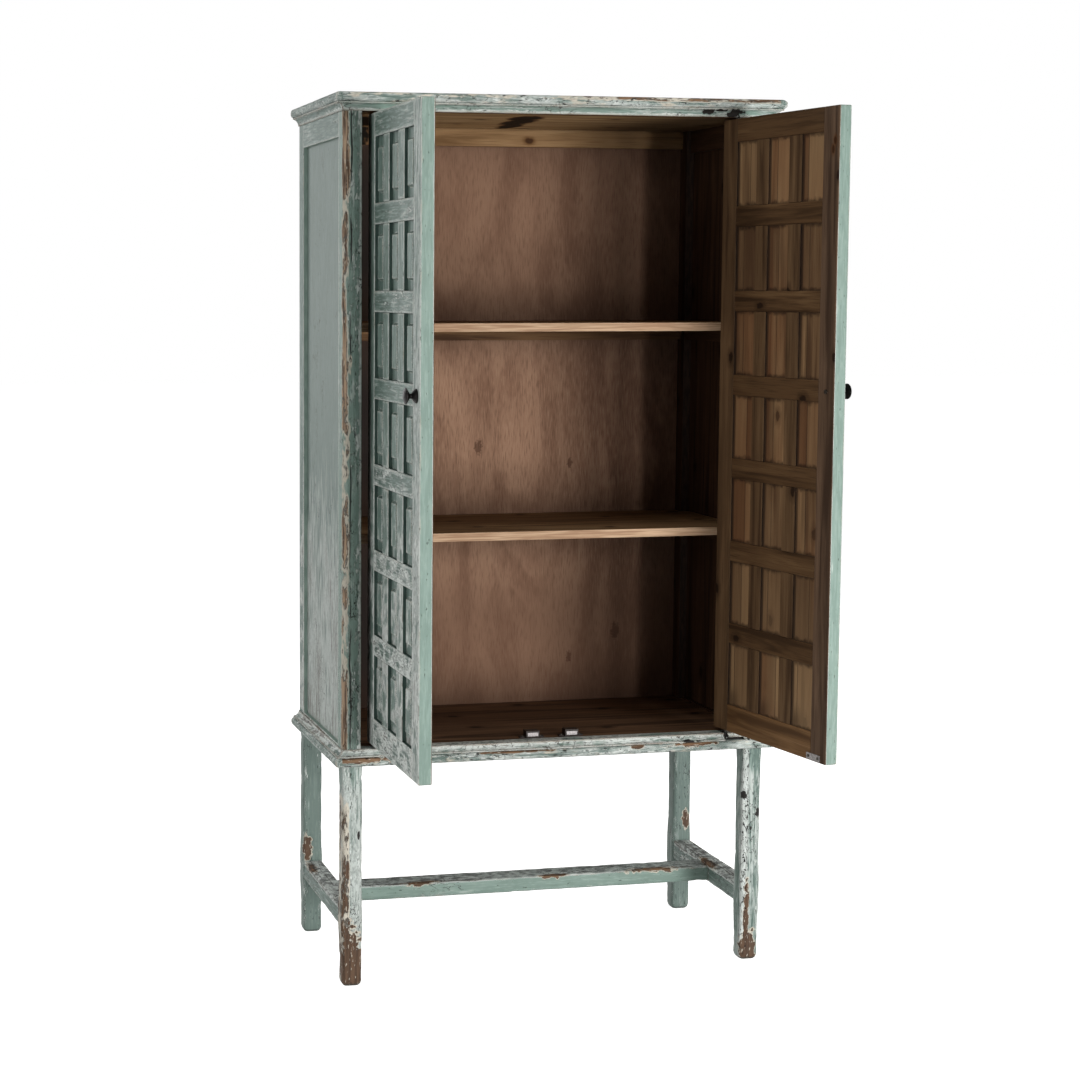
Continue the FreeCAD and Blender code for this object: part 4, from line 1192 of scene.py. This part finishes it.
# Painted light: the posts take the lighter SMOOTH tones against the shade that the open doors cast on them.
paint_post = old_paint(
    "corner_worn_paint", UP, SMOOTH, 0.46, 0.68, crack=0.2,
    strip=corner_strip, holes=post_crack, raw=POST_RAW,
)
paint_side = old_paint("side_panel_paint", UP, CALM, 0.12, 0.05, crack=0.02, worn=ramp("Z", 1.40, 0.62, 0.26))
wall_edge = wall_finish(
    "side_wall_edge", lambda place: abs(place.x).step(0.462, 0.464), UMBER_SHADE[:2], SMOOTH[::2], 0.6, 0.0003
)
print("finishes:", len(bpy.data.materials))

# %% [markdown]
# The frame of the case is painted where it looks outwards and stained where it looks in, with the stain
# darkened as painted shade. Its other members are plain eased boards, with sizes from the boxes of their
# solids.

# %% Posts, side rails and side panels
RAIL_IN = 0.448


def case_face(outside, inside, front_too=False):
    """Paint what looks outwards, and forwards if front_too; stain what looks inwards."""
    def pick(normal, centre):
        outward = normal.x if centre.x > 0 else -normal.x
        if outward > FACING or (front_too and normal.y < -FACING):
            return outside
        return inside if outward < -FACING else wall_edge
    return [outside, inside, wall_edge], pick


def dress_boards(node, boxes, outside, inside):
    """Eased boards, with paint outside and stain inside."""
    mesh = bmesh.new()
    for low, high in boxes:
        add_board(mesh, low, high, POST_EASE)
    dress(node, mesh, *case_face(outside, inside))


def side_box(side, x_in, y, z):
    """Two corners of a board that ends at the side of the case."""
    across = sorted((side * x_in, side * SIDE_X))
    return (across[0], y[0], z[0]), (across[1], y[1], z[1])


for seed, (name, side) in enumerate(SIDES.items()):
    mesh = bmesh.new()
    add_loft(mesh, [post_ring(side, z, 60 + seed) for z in stations(POST_LOW, POST_HIGH)])
    dress("front_" + name + "_post", mesh, *case_face(paint_post, wall_wood, True), smooth=True)
    back_post = side_box(side, POST_IN, (-POST_BACK, -FRONT), (POST_LOW, POST_HIGH))
    dress_boards("back_" + name + "_post", [back_post], paint_upright, wall_wood)
    dress_boards(name + "_side_panel", [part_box(name + "_side_panel")], paint_side, wall_wood)

for node in ("side_top_rails", "side_bottom_rails"):
    low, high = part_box(node)
    rails = [side_box(side, RAIL_IN, (POST_BACK, -POST_BACK), (low.z, high.z)) for side in SIDES.values()]
    dress_boards(node, rails, paint_deep, wall_deep)
print("pieces dressed:", sum(obj.name.endswith("_dressed") for obj in bpy.data.objects))

# %% [markdown]
# The rest keeps its solids and only gets finishes. The mouldings have chip holes near the right end and
# a painted shadow in the mended gap, too small to be worth cutting, so these are dark spots with a dent in
# the relief.

# %% Paint of the mouldings
COVE_CHIPS_AND_GAP_SHADOW = (
    (323, -236, 1871.5, 15, 20, 5),
    (350, -236, 1875, 20, 20, 2),
    (383, -236, 1870, 18, 20, 8),
    # Painted shadow on the sill behind the mended gap.
    (388, -226, 510, 5, 30, 12),
    (410, -236, 504.5, 26, 20, 3),
    (300, -238, 505, 20, 20, 3),
)

paint_cove = old_paint(
    "moulding_paint", ACROSS, SMOOTH, 0.55, 0.66, bare=0.10, crack=0.7,
    worn=low_wear, holes=lambda place: patches(place, COVE_CHIPS_AND_GAP_SHADOW, 1.3, 100, 0.1),
)
paint_return = old_paint("moulding_paint_side", DEEP, RUBBED, 0.38, 0.74, bare=0.08, crack=0.8, worn=low_wear)
print("finishes:", len(bpy.data.materials))

# %% [markdown]
# The boards of the inside share one stain recipe. The ceiling has a long black gash, a painted shadow at its
# left end, painted shade towards the right and a lighter stain as painted light. The back rail has a knot
# and a painted shadow at its left end, and painted shade darkens the tops of the shelves.

# %% Boards of the inside
SHELF_FRONT = -0.165
# Painted light: the ceiling takes a lighter copy of the stain.
CEILING_LIT_TONES = (tint(132, 101, 68), tint(184, 151, 108), tint(212, 182, 139))
FLOOR_TONES = (tint(66, 49, 37), tint(104, 79, 59), tint(126, 97, 74))
RAIL_KNOT = [(60, 202, 1836, 14, 20, 9)]
# Painted shadow at the left end of the back rail.
RAIL_LEFT_SHADOW = [(-420, 202, 1842, 100, 8, 200)]
GASH_AND_LEFT_SHADOW = (
    (-45, -100, 1862, 34, 60, 200),
    (-30, 0, 1862, 30, 90, 200),
    (-12, 120, 1862, 22, 70, 200),
    # Painted shadow: the last blob blackens the ceiling's left end.
    (-420, 100, 1862, 90, 200, 200),
)


def painted_shade_on_tops(place):
    """Painted shade on faces that look up."""
    return place.node("ShaderNodeNewGeometry", output="True Normal").z.step(0.4, 0.6) * 0.35


shelf_wood = stained_wood("shelf_wood", ACROSS, TAN, "XY", front=SHELF_FRONT, painted_shade=painted_shade_on_tops)
rail_wood = stained_wood("back_rail_wood", ACROSS, TAN, marks_and_shadows=RAIL_LEFT_SHADOW, knots=RAIL_KNOT)
# Painted shade: the ceiling darkens towards the right.
painted_shade_right = ramp("X", 0.02, 0.34, 0.75)
ceiling_wood = stained_wood("ceiling_wood", ACROSS, CEILING_LIT_TONES, "XY", marks_and_shadows=GASH_AND_LEFT_SHADOW, painted_shade=painted_shade_right)
floor_wood = stained_wood("floor_wood", ACROSS, FLOOR_TONES, "XY")
print("finishes:", len(bpy.data.materials))

# %% [markdown]
# The metal parts are small: knobs, catch plates, screws and pins. One recipe of mottled colour does for
# all, since at this size only the tone and the gleam tell.

# %% Metal


def plain_metal(name, colour, rough, metal, scratch):
    """Mottled metal, or plastic where metal is 0."""
    finish, place = new_finish(name)
    rub = speckle(place, 380, 3)
    shade = tuple(part * 0.55 for part in colour[:3]) + (1.0,)
    close_finish(place, rub.step(0.35, 0.65).over(shade, colour), rough + rub * 0.2, rub, scratch, metal)
    return finish


black_iron = plain_metal("black_iron", tint(34, 32, 31), 0.32, 0.7, 0.0002)
zinc = plain_metal("zinc_plate", tint(158, 153, 152), 0.45, 0.9, 0.0001)
screw_steel = plain_metal("screw_steel", tint(90, 86, 80), 0.4, 0.9, 0.0001)
catch_brown = plain_metal("catch_brown", tint(46, 36, 30), 0.45, 0.0, 0.0002)
print("finishes:", len(bpy.data.materials))

# %% [markdown]
# Each solid that stays gets its finish. A table is easier to check than a row of assignments.

# %% Finishes on the solids that stay
STAYING = {
    paint_cove: ["cornice_front", "base_cove_front", "base_cove_mended_end", "sill"],
    paint_return: ["cornice_returns", "base_cove_returns"],
    stain_across: ["front_top_rail", "back_cleats"],
    wall_deep: ["side_cleats"],
    rail_wood: ["back_top_rail"],
    ceiling_wood: ["ceiling_board"],
    floor_wood: ["floor_board"],
    ply_back: ["back_panel"],
    shelf_wood: ["upper_shelf", "lower_shelf"],
    black_iron: ["left_door_knob", "right_door_knob"],
    zinc: ["left_door_strike_plate", "right_door_strike_plate", "catch_magnets"],
    catch_brown: ["catch_housings"],
    screw_steel: ["catch_screws", "pivot_bushes"],
}
for name, piece in product(SIDES, ("knob_bolt", "strike_screws", "pivot_pins")):
    STAYING[screw_steel].append(name + "_door_" + piece)

for finish, nodes in STAYING.items():
    for node in nodes:
        solid = frame["nodes"][node]
        solid.data.materials.clear()
        solid.data.materials.append(finish)
print("solids that stay:", sum(len(nodes) for nodes in STAYING.values()))

# %% [markdown]
